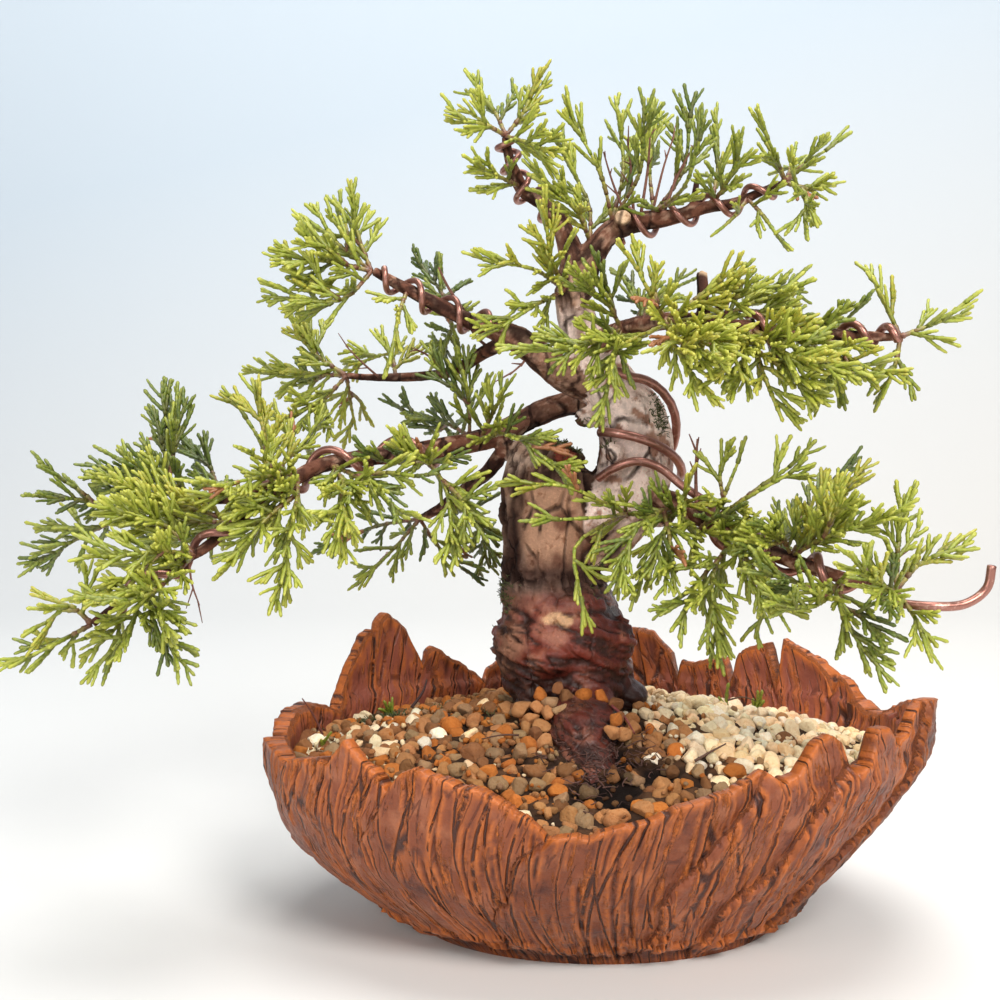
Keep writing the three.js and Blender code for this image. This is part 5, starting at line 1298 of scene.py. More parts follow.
@dataclass
class Wood:
    """Trunk, loop, branches, stubs and surface root as one barky skin. Lengths are millimetres."""

    places: WoodField
    voxel: float = 0.6
    lobes: float = 0.05
    shrink: float = 0.1
    noise: Noise = Noise(23)

    def skin(self) -> tuple[Array, Array, Array]:
        """Joins all limbs into one even mesh.

        Returns:
            Its points in millimetres, its normals and its four-sided faces.
        """
        whole = Draft()
        for number, path in enumerate(LIMBS.values()):
            place = np.linspace(0, 1, 10 * (len(path) - 1) + 1)
            angle = np.arange(24) * 2 * math.pi / 24
            lobes = 1 - self.lobes + self.lobes * np.cos(3 * angle + place[:, None] * 9 + number)
            radii = limb_radii(path, place) - self.shrink
            whole.add(*tube(Spline(path).at(place), radii, 24, lobes), (0, 0, 0, 0))
        for start, end, first, last in STUBS:
            whole.add(*tube(np.linspace(start, end, 6), np.linspace(first, last, 6), 14), (0, 0, 0, 0))
        for centre, reach in BURRS:
            place = np.linspace(-1, 1, 12)
            ball, faces = tube(beside(place * 0, place * 0, place), np.sqrt(1.0004 - place**2), 14)
            whole.add(ball * np.array(reach) + np.array(centre), faces, (0, 0, 0, 0))
        piece = whole.build("working", None)
        remesh = piece.modifiers.new("even", "REMESH")
        remesh.mode = "VOXEL"
        remesh.voxel_size = self.voxel * MM * 1.0
        result = piece.evaluated_get(bpy.context.evaluated_depsgraph_get()).to_mesh()
        found, normals = np.empty((2, len(result.vertices), 3), np.float32)
        loops = np.empty((len(result.loops) // 4, 4), np.int32)
        result.vertices.foreach_get("co", found.ravel())
        result.vertices.foreach_get("normal", normals.ravel())
        result.loops.foreach_get("vertex_index", loops.ravel())
        bpy.data.objects.remove(piece)
        return found.astype(float) / MM, normals.astype(float), loops

    def grain(self, near: Near, along: float, around: float, seed: float, layers: int = 3) -> Array:
        """Gives noise that is drawn out along each limb.

        Args:
            near: The places as looked up on the wood.
            along: Waves per millimetre along the limb.
            around: Waves per millimetre round it.
            seed: Shifts the pattern.
            layers: Number of layers.

        Returns:
            A value for each place.
        """
        first = np.cos(near.angle) * near.radius * around
        second = np.sin(near.angle) * near.radius * around
        spot = beside(near.travelled * along, first, second + 31 * near.limb + seed)
        return self.noise.layered(spot, 1.0, layers)

    def build(self) -> Piece:
        """Makes the wood with its relief and colours.

        Returns:
            The wood.
        """
        points, normals, quads = self.skin()
        near = self.places.find(points)
        limb = np.array(list(LIMBS))[near.limb]
        x, y, z = points.T
        count = len(points)
        size = np.clip(near.radius / 10, 0.14, 1)
        trunk = np.isin(limb, ["lowerTrunk", "loop", "surfaceRoot"])
        lower = limb == "lowerTrunk"
        bulge = 1 - ease(81, 87, z + 1.5 * self.noise.at(points, 0.15))
        bulge = np.where(lower, bulge, (limb == "surfaceRoot") * 1.0)
        crack = ease(0.82, 0.975, 1 - np.abs(self.grain(near, 0.06, 0.2, 0)))
        plates = self.grain(near, 0.09, 0.2, 50)
        step = self.grain(near, 0.16, 0.26, 140)
        plate_edge = ease(0.86, 0.985, 1 - np.abs(step))
        flaky = self.grain(near, 0.5, 0.9, 90, 4)
        wrinkle = self.noise.layered(beside(x * 0.09, y * 0.09, z * 0.3 + x * 0.1), 1.0, 4)
        folds = ease(0.8, 0.975, 1 - np.abs(wrinkle))
        facing = np.arctan2(x + 10.5, -(y - 14))
        panel = ease(0.3, 0.8, np.cos(facing * 1.55)) * ease(86.5, 90, z) * (1 - ease(109, 114, z)) * lower
        dry = (1 - bulge) * (1 - 0.85 * panel)
        barky = -1.5 * crack - 0.6 * plate_edge + 0.9 * plates + 0.6 * np.sign(step) * 0.35 + 0.8 * flaky
        relief = size * (dry * barky + bulge * (1.3 * wrinkle - 1.0 * folds + 0.5 * flaky))
        pale = (limb == "loop") * ease(96, 104, z) * (1 - ease(150, 160, z))
        points = points + normals * (relief * np.where(trunk, 0.75, 0.5) * (1 - 0.7 * pale))[:, None]

        broad = self.noise.layered(points, 0.06, 3)
        patch = self.noise.layered(points + 60, 0.16, 3)
        spots = self.noise.layered(points + 90, 0.45, 2)
        pale_share = pale * ease(-0.55, -0.15, plates) * 0.95
        beside_panel = lower * ease(86, 90, z) * (1 - panel) * ease(118, 112, z)
        twiggy = ~trunk * (1 - 0.6 * ease(3, 5, near.radius))
        grey = ease(0.25, 0.75, -(x + 8) / 20) * bulge * ease(-0.3, 0.2, patch)
        tan = np.exp(-(((x + 9 + 1.5 * spots) / 4.4) ** 2 + ((z - 77 + spots) / 1.9) ** 2)) * (y < 8)
        neck = lower * np.exp(-(((z - 87.5 + 1.5 * patch) / 5.0) ** 2))
        # Painted shade: the bark turns near black low down, where the trunk and the surface root go into the soil.
        shade_at_soil = (1 - ease(54, 68, z - 0.1 * y + 3 * patch)) * bulge
        dark = np.maximum(np.maximum(crack, 0.7 * plate_edge) * dry * (1 - 0.75 * pale), folds * bulge)
        rim_of_panel = np.exp(-(((np.cos(facing * 1.55) - 0.3) / 0.14) ** 2))
        rim_of_panel = rim_of_panel * ease(88, 91, z) * (1 - ease(110, 114, z))
        head = np.exp(-(((x + 8) / 9) ** 2 + ((z - 118) / 6) ** 2)) * lower
        wound = np.exp(-(((x + 8.3) / 3.4) ** 2 + ((z - 118.6) / 3.2) ** 2)) * (y < 1)
        cuts = [np.exp(-((points - np.array(c)) ** 2).sum(axis=1) / reach**2) for c, reach in CUT_ENDS]
        colour = coated(
            count, (0.38, 0.225, 0.155),
            ((0.64, 0.46, 0.36), ease(-0.2, 0.35, patch)),
            ((0.16, 0.07, 0.045), ease(0.15, 0.5, -plates)),
            (coated(count, (0.98, 0.77, 0.69), ((0.42, 0.22, 0.155), ease(0.2, 0.45, spots + 0.4 * patch))),
             pale_share),
            (coated(count, (0.52, 0.29, 0.185), ((0.22, 0.098, 0.06), ease(0.05, 0.42, patch))), panel),
            ((0.075, 0.036, 0.026), beside_panel * ease(-0.6, -0.05, -plates + 0.3 * patch) * 0.92),
            (coated(count, (0.17, 0.068, 0.043), ((0.42, 0.25, 0.175), ease(0, 0.45, flaky))), twiggy),
            (coated(count, (0.19, 0.036, 0.022), ((0.38, 0.14, 0.085), ease(-0.05, 0.45, patch)),
                    ((0.04, 0.012, 0.009), ease(0.1, 0.55, -wrinkle))), bulge),
            ((0.2, 0.13, 0.08), grey * 0.55),
            ((0.66, 0.38, 0.2), ease(0.35, 0.6, tan)),
            ((0.05, 0.02, 0.015), neck * 0.9 * ease(-0.5, 0.0, patch + 0.3)),
            # painted shade at the foot of the trunk
            ((0.012, 0.006, 0.005), shade_at_soil * np.where(lower, 0.9, 0.45)),
            ((0.022, 0.009, 0.007), dark * 0.9),
            ((0.02, 0.009, 0.007), rim_of_panel * lower * 0.8 * (y < 14)),
            ((0.045, 0.024, 0.018), head * 0.85),
            ((0.2, 0.045, 0.028), ease(0.25, 0.6, wound)),
            *[((0.62, 0.42, 0.27), ease(0.3, 0.75, close)) for close in cuts],
        )
        colour *= (1 + 0.22 * broad)[:, None]
        gloss = np.clip(bulge * (0.9 + 0.3 * patch) * (1 - 0.7 * grey) + 0.25 * panel, 0, 1)
        draft = Draft()
        draft.add(points, [quads], np.column_stack([np.clip(colour, 0.003, 1), gloss]))
        piece = draft.build("wood", BarkFinish().material())
        own(piece, "bark", "trunk")
        return piece


# ---- the wires
@dataclass
class Wires:
    """The training wires, each a round wire wound on its limb. Lengths are millimetres."""

    steps_per_turn: int = 26
    sides: int = 14
    slack: float = 0.25

    def path(self, name: str) -> Array:
        """Follows one wire.

        Args:
            name: The wire's node.

        Returns:
            Points along its middle, one a row.
        """
        limb, start, end, turns, first, radius = WIRES[name]
        path = LIMBS[limb]
        steps = max(12, round(turns * self.steps_per_turn))
        place = np.linspace(start, end, steps + 1)
        spline = Spline(path)
        centres = spline.at(place)
        along = unit(spline.at(place + 1e-3) - spline.at(place - 1e-3))
        reach = limb_radii(path, place) + radius + self.slack
        guide = np.array([0, 1.0, 0]) if abs(along[0, 1]) < 0.9 else np.array([1.0, 0, 0])
        across = unit(np.cross(guide, along[0]))
        wound = []
        for i in range(steps + 1):
            across = unit(across - along[i] * np.dot(across, along[i]))
            up = np.cross(along[i], across)
            angle = math.radians(first) + i / steps * turns * 2 * math.pi
            wound.append(centres[i] + (across * math.cos(angle) + up * math.sin(angle)) * reach[i])
        lead, tail = WIRE_LEADS.get(name, []), WIRE_TAILS.get(name, [])
        if not lead and not tail:
            return np.array(wound)
        return Spline([*lead, *wound[::3], *tail]).even(5 * (len(lead) + len(wound) // 3 + len(tail)))

    def build(self) -> None:
        """Makes every wire, with its ends slightly rounded."""
        material = WireFinish().material()
        for name in WIRES:
            radius = WIRES[name][5]
            path = self.path(name)
            first, last = unit(path[0] - path[1]), unit(path[-1] - path[-2])
            path = np.concatenate([[path[0] + first * 0.25, path[0] + first * 0.12], path,
                                   [path[-1] + last * 0.12, path[-1] + last * 0.25]])
            thick = np.full(len(path), float(radius))
            thick[[0, -1]] *= 0.55
            thick[[1, -2]] *= 0.9
            draft = Draft()
            draft.add(*tube(path, thick, self.sides), (0.5, 0.5, 0.5, 1))
            own(draft.build(name.replace("wire_", "coil_"), material), "wire", name)


# ---- the foliage
@dataclass
class Shoots:
    """Curved shoots of one spray, each from three points, with radius and painted values."""

    scale: float = 1.55
    sides: int = 4
    rows: list[tuple] = field(default_factory=list)

    def add(self, start: Array, knee: Array, end: Array, radius: float, paint: tuple[float, ...]) -> None:
        """Adds a shoot; its paint is the tip value at the start, the brightness, dryness and woodiness."""
        self.rows.append((start, knee, end, radius, paint))

    def skin(self, draft: Draft, random: Random) -> None:
        """Adds every shoot's skin, with a low step for each pair of scales.

        Args:
            draft: The mesh being made.
            random: The random source.
        """
        shoots = [np.array(column) for column in zip(*self.rows)]
        starts, knees, ends = shoots[:3]
        lengths = np.linalg.norm(knees - starts, axis=1) + np.linalg.norm(ends - knees, axis=1)
        scales = np.maximum(2, np.round(lengths / (self.scale * 1))).astype(int)
        for count in np.unique(scales):
            pick = scales == count
            number = np.append(np.repeat(np.arange(count), 2), count)
            wide = np.append(np.tile([0.0, 1.0], count), 0.0)
            place = np.append((number[:-1] + np.where(wide[:-1] > 0, 0.76, 0.06)) / count * 0.97, 1.0)
            place[0] = 0.0
            spin = random.uniform(0, 6.28, pick.sum())
            self.skin_group(draft, (place, wide, number), spin, [column[pick] for column in shoots])

    def skin_group(self, draft: Draft, rings: tuple[Array, ...], spin: Array, shoots: list[Array]) -> None:
        """Adds the shoots that have the same number of scales.

        Args:
            draft: The mesh being made.
            rings: Each ring's place from 0 to 1, whether it is a scale's wide end, and its scale's number.
            spin: A turn for each shoot.
            shoots: Starts, knees, ends, radii and paint.
        """
        place, wide, number = rings
        starts, knees, ends, radii, paint = shoots
        t = place[None, :, None]
        path = (1 - t) ** 2 * starts[:, None] + 2 * t * (1 - t) * knees[:, None] + t**2 * ends[:, None]
        along = unit((1 - t) * (knees - starts)[:, None] + t * (ends - knees)[:, None])
        flat = np.cross(knees - starts, ends - knees)
        spare = np.cross(ends - starts, np.array([0.3, 0.2, 0.93]))
        across = unit(np.where(np.linalg.norm(flat, axis=1, keepdims=True) > 1e-3, flat, spare))[:, None]
        up = np.cross(along, across)
        side = np.arange(self.sides)
        angle = side[None] * 2 * math.pi / self.sides + spin[:, None]
        keel = (np.mod(side[None] - number[:, None], 2) == 0) * 1.0
        blunt = np.where(place < 1, 1, 0.5)
        ring = (0.92 + wide[:, None] * (0.06 + 0.26 * keel)) * blunt[:, None] * (1 - 0.22 * place[:, None])
        reach = radii[:, None, None] * ring[None]
        points = (path[:, :, None] + across[:, :, None] * (np.cos(angle)[:, None] * reach)[..., None]
                  + up[:, :, None] * (np.sin(angle)[:, None] * reach)[..., None])
        count, rows = path.shape[:2]
        steps = (np.arange(count) * rows * self.sides)[:, None, None]
        faces = [(group[None] + steps).reshape(-1, group.shape[1]) for group in tube_faces(rows, self.sides)]
        values = np.empty((count, rows, self.sides, 4))
        values[..., 0] = (paint[:, 0, None] + (1 - paint[:, 0, None]) * place**1.4)[:, :, None]
        # Narrow rings between the wide ends of scales are painted darker: painted shade in the crevices.
        values[..., 1] = np.clip(paint[:, 1, None] + 0.16 * (wide - 0.6), 0, 1)[:, :, None]
        values[..., 2] = paint[:, 2, None, None]
        values[..., 3] = np.clip(paint[:, 3, None] * (1.3 - place), 0, 1)[:, :, None]
        draft.add(points.reshape(-1, 3), faces, values.reshape(-1, 4))


@dataclass
class Foliage:
    """The leafy stems: sprays of scale-covered shoots. Lengths are millimetres and angles degrees."""

    places: WoodField
    thickness: float = 0.61
    twig: float = 0.62
    frond_length: tuple[float, float] = (7.5, 13.0)
    frond_angle: tuple[float, float] = (58, 24)
    finger_pitch: float = 1.85
    finger_length: tuple[float, float] = (4.0, 8.5)
    finger_angle: tuple[float, float] = (16, 36)
    fork_share: float = 0.16
    dry_share: float = 0.012
    lift: float = 0.2
    open_tone: tuple[float, float] = (0.45, 0.8)
    # Brightness range of shaded stems: painted shade.
    shaded_tone: tuple[float, float] = (0.15, 0.35)
    shoots: Shoots = field(default_factory=Shoots)
    random: Random = field(default_factory=lambda: np.random.default_rng(300))

    def grow(self, stem: Stem, tone: float) -> None:
        """Grows one leafy stem.

        Args:
            stem: The stem.
            tone: Its mean brightness.
        """
        pitch, extra = stem.habit.value
        near = self.places.find(np.array([stem.foot], float))
        root = np.array(stem.foot) - near.out[0] * (near.gap[0] + 1.0)
        for spine in stem.spines:
            curve = Spline([root, *spine])
            length = curve.length()
            self.add_spine(curve, length, pitch, tone)
            for _ in range(extra):
                path = curve.even(10)
                start = self.random.integers(3, 6)
                ahead = unit(path[10] - path[start])
                side = unit(self.random.normal(0, 1, 3) + np.array([0, 0, 0.2]))
                side = unit(side - ahead * np.dot(side, ahead))
                reach = 0.55 * length
                middle = path[start] + (ahead * 0.8 + side * 0.6) * reach * 0.5
                end = middle + (ahead * 0.92 + side * 0.38) * reach * 0.5
                self.add_spine(Spline([path[start], middle, end]), reach, pitch * 1.15, tone)

    def add_spine(self, curve: Spline, length: float, pitch: float, tone: float) -> None:
        """Adds a spine with its fronds.

        Args:
            curve: The spine.
            length: Its length.
            pitch: The distance between fronds.
            tone: Its mean brightness.
        """
        steps = max(3, round(length / 4))
        path = curve.even(steps)
        tone = float(np.clip(tone + self.random.normal(0, 0.15), 0.08, 0.97))
        for i in range(steps):
            ahead = path[min(i + 2, steps)] - path[i]
            knee = (path[i] + path[i + 1]) / 2 + 0.02 * ahead
            wood = float(np.clip(1.2 - 1.7 * i / steps, 0, 1))
            thick = self.twig * (1.15 - 0.35 * i / steps)
            self.shoots.add(path[i], knee, path[i + 1] + unit(ahead) * 0.35, thick, (0.1, tone, 0, wood))
        self.add_fronds(curve, length, pitch, tone)

    def add_fronds(self, curve: Spline, length: float, pitch: float, tone: float) -> None:
        """Sets fronds all along a spine and one at its end.

        Args:
            curve: The spine.
            length: Its length.
            pitch: The distance between fronds.
            tone: Its brightness.
        """
        spots = np.append(np.arange(min(0.25 * length, 3.6), length - 0.6, pitch), length)
        path = curve.even(40)
        along, across, up = frames_along(path)
        turn = self.random.uniform(0, 360)
        headings, starts, aheads = np.empty((3, len(spots), 3))
        for number, spot in enumerate(spots):
            share = spot / length
            index = min(40, round(share * 40))
            angle = self.frond_angle[0] + (self.frond_angle[1] - self.frond_angle[0]) * share
            angle = math.radians(angle + self.random.normal(0, 8)) * (number < len(spots) - 1)
            azimuth = math.radians(turn + 137.5 * number + self.random.normal(0, 18))
            out = across[index] * math.cos(azimuth) + up[index] * math.sin(azimuth)
            heading = along[index] * math.cos(angle) + out * math.sin(angle) + np.array([0, 0, self.lift])
            headings[number] = unit(heading)
            starts[number], aheads[number] = path[index], along[index]
        near = self.places.find(starts + headings * 7)
        headings = np.where((near.gap < 1.2)[:, None], unit(headings + 1.3 * near.out), headings)
        inside = self.places.find(starts + headings * 7).gap < 0.6
        for start, heading, ahead, spot, blocked in zip(starts, headings, aheads, spots, inside):
            reach = self.random.uniform(*self.frond_length) * (1.06 - 0.3 * spot / length)
            kept = self.random.random() < self.fullness(start + heading * reach)
            if kept and not blocked:
                self.add_frond(start, heading, ahead, reach, tone)

    @staticmethod
    def fullness(place: Array) -> float:
        """Gives the share of fronds kept at a place: the tree has gaps that show bare twigs.

        Args:
            place: The place.

        Returns:
            The share.
        """
        share = 1.0
        for (x, z), (wide, high), kept in GAPS:
            close = math.exp(-(((place[0] - x) / wide) ** 2 + ((place[2] - z) / high) ** 2))
            share *= 1 - (1 - kept) * min(1.0, 1.6 * close)
        return share

    def add_frond(self, start: Array, heading: Array, ahead: Array, reach: float, tone: float) -> None:
        """Adds one flat frond, whose alternate fingers bend forwards to run side by side.

        Args:
            start: Where the frond leaves the spine.
            heading: Its direction.
            ahead: The spine's direction there.
            reach: Its length.
            tone: Brightness of the spray.
        """
        random = self.random
        tone = float(np.clip(tone + random.normal(0, 0.15), 0.03, 1))
        dry = 1.0 if random.random() < self.dry_share else 0.0
        bend = unit(heading + 0.4 * ahead + random.normal(0, 0.16, 3))
        knee = start + heading * reach * 0.5
        end = knee + bend * reach * 0.5
        self.shoots.add(start, knee, end, self.thickness, (0.0, tone, dry, 0.2))
        plane = unit(np.cross(heading, ahead + random.normal(0, 0.5, 3)))
        spot = random.uniform(1.4, 2.8)
        side = 1 if random.random() < 0.5 else -1
        while spot < reach - 2.0:
            part = spot / reach
            base = (1 - part) ** 2 * start + 2 * part * (1 - part) * knee + part**2 * end
            forward = unit((1 - part) * (knee - start) + part * (end - knee))
            sideways = unit(np.cross(plane, forward)) * side
            tilt = math.radians(random.uniform(*self.finger_angle))
            toward = unit(forward * math.cos(tilt) + sideways * math.sin(tilt) + random.normal(0, 0.1, 3))
            extent = random.uniform(*self.finger_length) * (1.1 - 0.6 * part)
            tip = unit(toward + 0.9 * forward + random.normal(0, 0.1, 3))
            elbow = base + toward * extent * 0.5
            thick = self.thickness * random.uniform(0.84, 0.98)
            self.shoots.add(base, elbow, elbow + tip * extent * 0.5, thick, (0.25, tone, dry, 0))
            if random.random() < self.fork_share and extent > 4:
                turned = -1 if random.random() < 0.6 else 1
                away = unit(toward + 0.45 * sideways * turned + random.normal(0, 0.1, 3))
                fork = base + toward * extent * 0.42
                short = extent * random.uniform(0.42, 0.58)
                middle = fork + away * short * 0.5
                end_of_fork = middle + unit(away + tip) * short * 0.5
                self.shoots.add(fork, middle, end_of_fork, thick * 0.94, (0.35, tone, dry, 0))
            spot += self.finger_pitch * random.uniform(0.65, 1.35)
            side = -side

    def build(self) -> None:
        """Makes every leafy stem."""
        material = LeafFinish().material()
        for number, (name, stem) in enumerate(LEAFY_STEMS.items()):
            self.shoots, self.random = Shoots(), np.random.default_rng(300 + number)
            self.grow(stem, self.random.uniform(*(self.shaded_tone if stem.shaded else self.open_tone)))
            draft = Draft()
            self.shoots.skin(draft, self.random)
            own(draft.build(f"sprays_{name}", material), "foliage", f"leafy_{name}")


# ---- the soil
@dataclass
class Soil:
    """The filling: dark fines, grains of several kinds and grit. Lengths are millimetres."""

    bowl: Bowl
    places: WoodField
    centre: tuple[float, float] = (-2, 8)
    top: float = 55
    side_drop: float = 10.5
    side_reach: float = 73
    back_drop: float = 5
    back_reach: float = 44
    front_drop: float = 19
    front_reach: float = 68
    ridge: tuple[float, float, float] = (-5, 28, 0.45)
    pitch: float = 4.5
    half_width: tuple[float, float] = (1.85, 3.1)
    grit_half_width: tuple[float, float] = (0.5, 1.15)
    grit_count: int = 1500
    grit_spread: tuple[float, float] = (80, 64)
    noise: Noise = Noise(41)
    random: Random = field(default_factory=lambda: np.random.default_rng(77))
    material: Material = field(default_factory=lambda: GrainFinish().material())

    def height(self, x: Array, y: Array) -> Array:
        """Gives the mean level of the soil.

        Args:
            x: Places across.
            y: Places away from the front.

        Returns:
            The level at each.
        """
        side = self.side_drop * (np.abs(x - self.centre[0]) / self.side_reach) ** 1.4
        away = y - self.centre[1]
        back = self.back_drop * (np.maximum(0, away) / self.back_reach) ** 1.3
        near = np.exp(-(((x - self.ridge[0]) / self.ridge[1]) ** 2))
        middle = 1 - self.ridge[2] + self.ridge[2] * near
        front = self.front_drop * (np.maximum(0, -away) / self.front_reach) ** 1.25 * middle
        return self.top - side - back - front

    def inside(self, x: Array, y: Array, margin: float) -> Array:
        """Tells which places lie inside the bowl's wall by a margin."""
        level = np.minimum(self.height(x, y), self.bowl.belly_height)
        reach = self.bowl.lining(level) - margin
        off = (x - self.bowl.centre_x(level)) / reach
        return off**2 + (y / (self.bowl.depth_ratio * reach)) ** 2 < 1

    def pit(self, x: Array, y: Array) -> Array:
        """Returns how far a place is in one of the dark hollows, from 0 to 1."""
        depth = np.zeros(np.shape(x))
        for centre, reach in PITS:
            off = np.hypot(x - centre[0], y - centre[1]) / reach
            rough = 0.2 * self.noise.at(beside(x, y, np.zeros(np.shape(x))), 0.3)
            depth = np.maximum(depth, 1 - ease(0.55, 1.15, off + rough))
        return depth

    def bed(self) -> None:
        """Makes the dark fines under the grains."""
        angle = np.radians(np.arange(0, 360, 2.0))
        rows, paint = [], []
        for share in np.linspace(1, 0.02, 44):
            level = np.full(angle.shape, 45.0)
            for _ in range(4):
                reach = (self.bowl.lining(level) - 0.2) * share
                x = self.bowl.centre_x(level) * share + reach * np.cos(angle)
                y = reach * self.bowl.depth_ratio * np.sin(angle)
                level = np.minimum(self.height(x, y), self.bowl.belly_height)
            bumps = self.noise.layered(beside(x, y, x * 0), 0.3, 4)
            pit = self.pit(x, y)
            rows.append(beside(x, y, self.height(x, y) - 1.6 + 1.2 * bumps - 1.8 * pit))
            light = ((0.14, 0.065, 0.03), ease(-0.1, 0.6, bumps) * 0.8)
            # The hollows are painted near black: painted shade.
            shade = coated(len(x), (0.03, 0.016, 0.01), light, ((0.008, 0.004, 0.003), pit))
            paint.append(np.column_stack([shade, np.ones(len(x))]))
        level = np.full(angle.shape, 30.0)
        reach = self.bowl.lining(level) - 0.5
        x = self.bowl.centre_x(level) + reach * np.cos(angle)
        rows.insert(0, beside(x, reach * self.bowl.depth_ratio * np.sin(angle), level))
        paint.insert(0, paint[0])
        draft = Draft()
        draft.add(np.concatenate(rows), tube_faces(len(rows), len(angle)), np.concatenate(paint))
        own(draft.build("soil_bed", self.material), "gravel", "soil")

    @staticmethod
    def ball(detail: int) -> tuple[Array, Array]:
        """Returns the points and triangles of a unit ball, to be cut into grains."""
        mesh = bpy.data.meshes.new("ball")
        shape = bmesh.new()
        bmesh.ops.create_icosphere(shape, subdivisions=detail, radius=1)
        shape.to_mesh(mesh)
        shape.free()
        points = np.array([v.co for v in mesh.vertices])
        faces = np.array([p.vertices for p in mesh.polygons])
        bpy.data.meshes.remove(mesh)
        return points, faces

    def cut(self, ball: Array, size: float) -> Array:
        """Cuts flats on a ball so that it looks like a broken, worn grain.

        Args:
            ball: Points of a unit ball.
            size: Half the grain's width.

        Returns:
            The grain's points round its middle.
        """
        shape = ball * (1 + 0.16 * self.noise.at(ball * 1.5 + self.random.uniform(0, 90, 3))[:, None])
        for _ in range(8):
            normal = unit(self.random.normal(0, 1, 3))
            over = np.maximum(0, shape @ normal - self.random.uniform(0.48, 0.84))
            shape = shape - over[:, None] * normal * 0.98
        spin, _ = np.linalg.qr(self.random.normal(0, 1, (3, 3)))
        return (shape * self.random.uniform(0.78, 1.18, 3)) @ spin.T * size

    def colour(self, x: float, y: float) -> Array:
        """Picks a grain's colour for its place."""
        right = float(ease(2, 26, x + 0.3 * y))
        left = float(ease(-34, -60, x + 0.35 * y))
        kinds = GRAINS_PALE if self.random.random() < max(0.02 + 0.94 * right, 0.32 * left) else GRAINS_BROWN
        pick = kinds[self.random.choice(len(kinds), p=[share for share, _ in kinds])][1]
        return np.array(pick) * self.random.uniform(0.8, 1.1) * self.random.uniform(0.96, 1.04, 3)

    def scatter(self) -> None:
        """Lays the grains in two layers."""
        shapes = {0: self.ball(3), 1: self.ball(2)}
        drafts = {"left": Draft(), "middle": Draft(), "right": Draft()}
        for layer, spacing in ((0, self.pitch), (1, self.pitch * 1.1)):
            spots = []
            for row, y in enumerate(np.arange(-68, 68, spacing * 0.866)):
                x = np.arange(-84 + (row % 2) * spacing / 2, 84, spacing)
                spots.append(beside(x, np.full(len(x), y)))
            spots = np.concatenate(spots)
            spots = spots + self.random.uniform(-1, 1, spots.shape) * spacing * 0.32
            spots = spots[self.inside(*spots.T, 1.6 + 1.6 * layer)]
            sizes = self.random.uniform(*self.half_width, len(spots))
            tops = self.height(*spots.T) + self.random.uniform(-0.7, 1.5, len(spots)) - 2.2 * layer
            centres = np.column_stack([spots, tops - 0.85 * sizes])
            keep = self.places.find(centres).gap > 0.4 * sizes
            dark = self.pit(*spots.T)
            ball, faces = shapes[layer]
            for centre, size, gloom in zip(centres[keep], sizes[keep], dark[keep]):
                # In the hollows most grains are left out and the rest are painted darker: painted shade.
                if self.random.random() < 0.9 * gloom:
                    continue
                part = "left" if centre[0] < -24 else "right" if centre[0] > 22 else "middle"
                # The lower layer is painted a fifth darker: painted shade under the top layer.
                colour = self.colour(*centre[:2]) * (1 - 0.7 * gloom) * (1 - 0.2 * layer)
                drafts[part].add(centre + self.cut(ball, size), [faces], (*colour, 1))
        ball, faces = shapes[0]
        for x, y, z, size in HEAP:
            grain = np.array([x, y, z]) + self.cut(ball, size)
            drafts["middle"].add(grain, [faces], (*self.colour(x - 20, y), 1))
        for part, draft in drafts.items():
            own(draft.build(f"grains_{part}", self.material), "gravel", "soil")

    def grit(self) -> None:
        """Fills between the grains with grit."""
        ball, faces = self.ball(2)
        spots = self.random.uniform(-1, 1, (self.grit_count, 2)) * np.array(self.grit_spread)
        spots = spots[self.inside(*spots.T, 1.0)]
        level = self.height(*spots.T) + self.random.uniform(-1.4, 0.2, len(spots))
        centres = np.column_stack([spots, level])
        centres = centres[self.places.find(centres).gap > 0.3]
        draft = Draft()
        for centre in centres:
            gloom = float(self.pit(*centre[:2]))
            # Grit is painted 15% darker than the grains, and darker still in the hollows as painted shade.
            colour = self.colour(*centre[:2]) * (0.85 - 0.6 * gloom)
            grain = centre + self.cut(ball, self.random.uniform(*self.grit_half_width))
            draft.add(grain, [faces], (*colour, 1))
        own(draft.build("grit", self.material), "gravel", "soil")

    def build(self) -> None:
        """Makes the whole filling."""
        self.bed()
        self.scatter()
        self.grit()


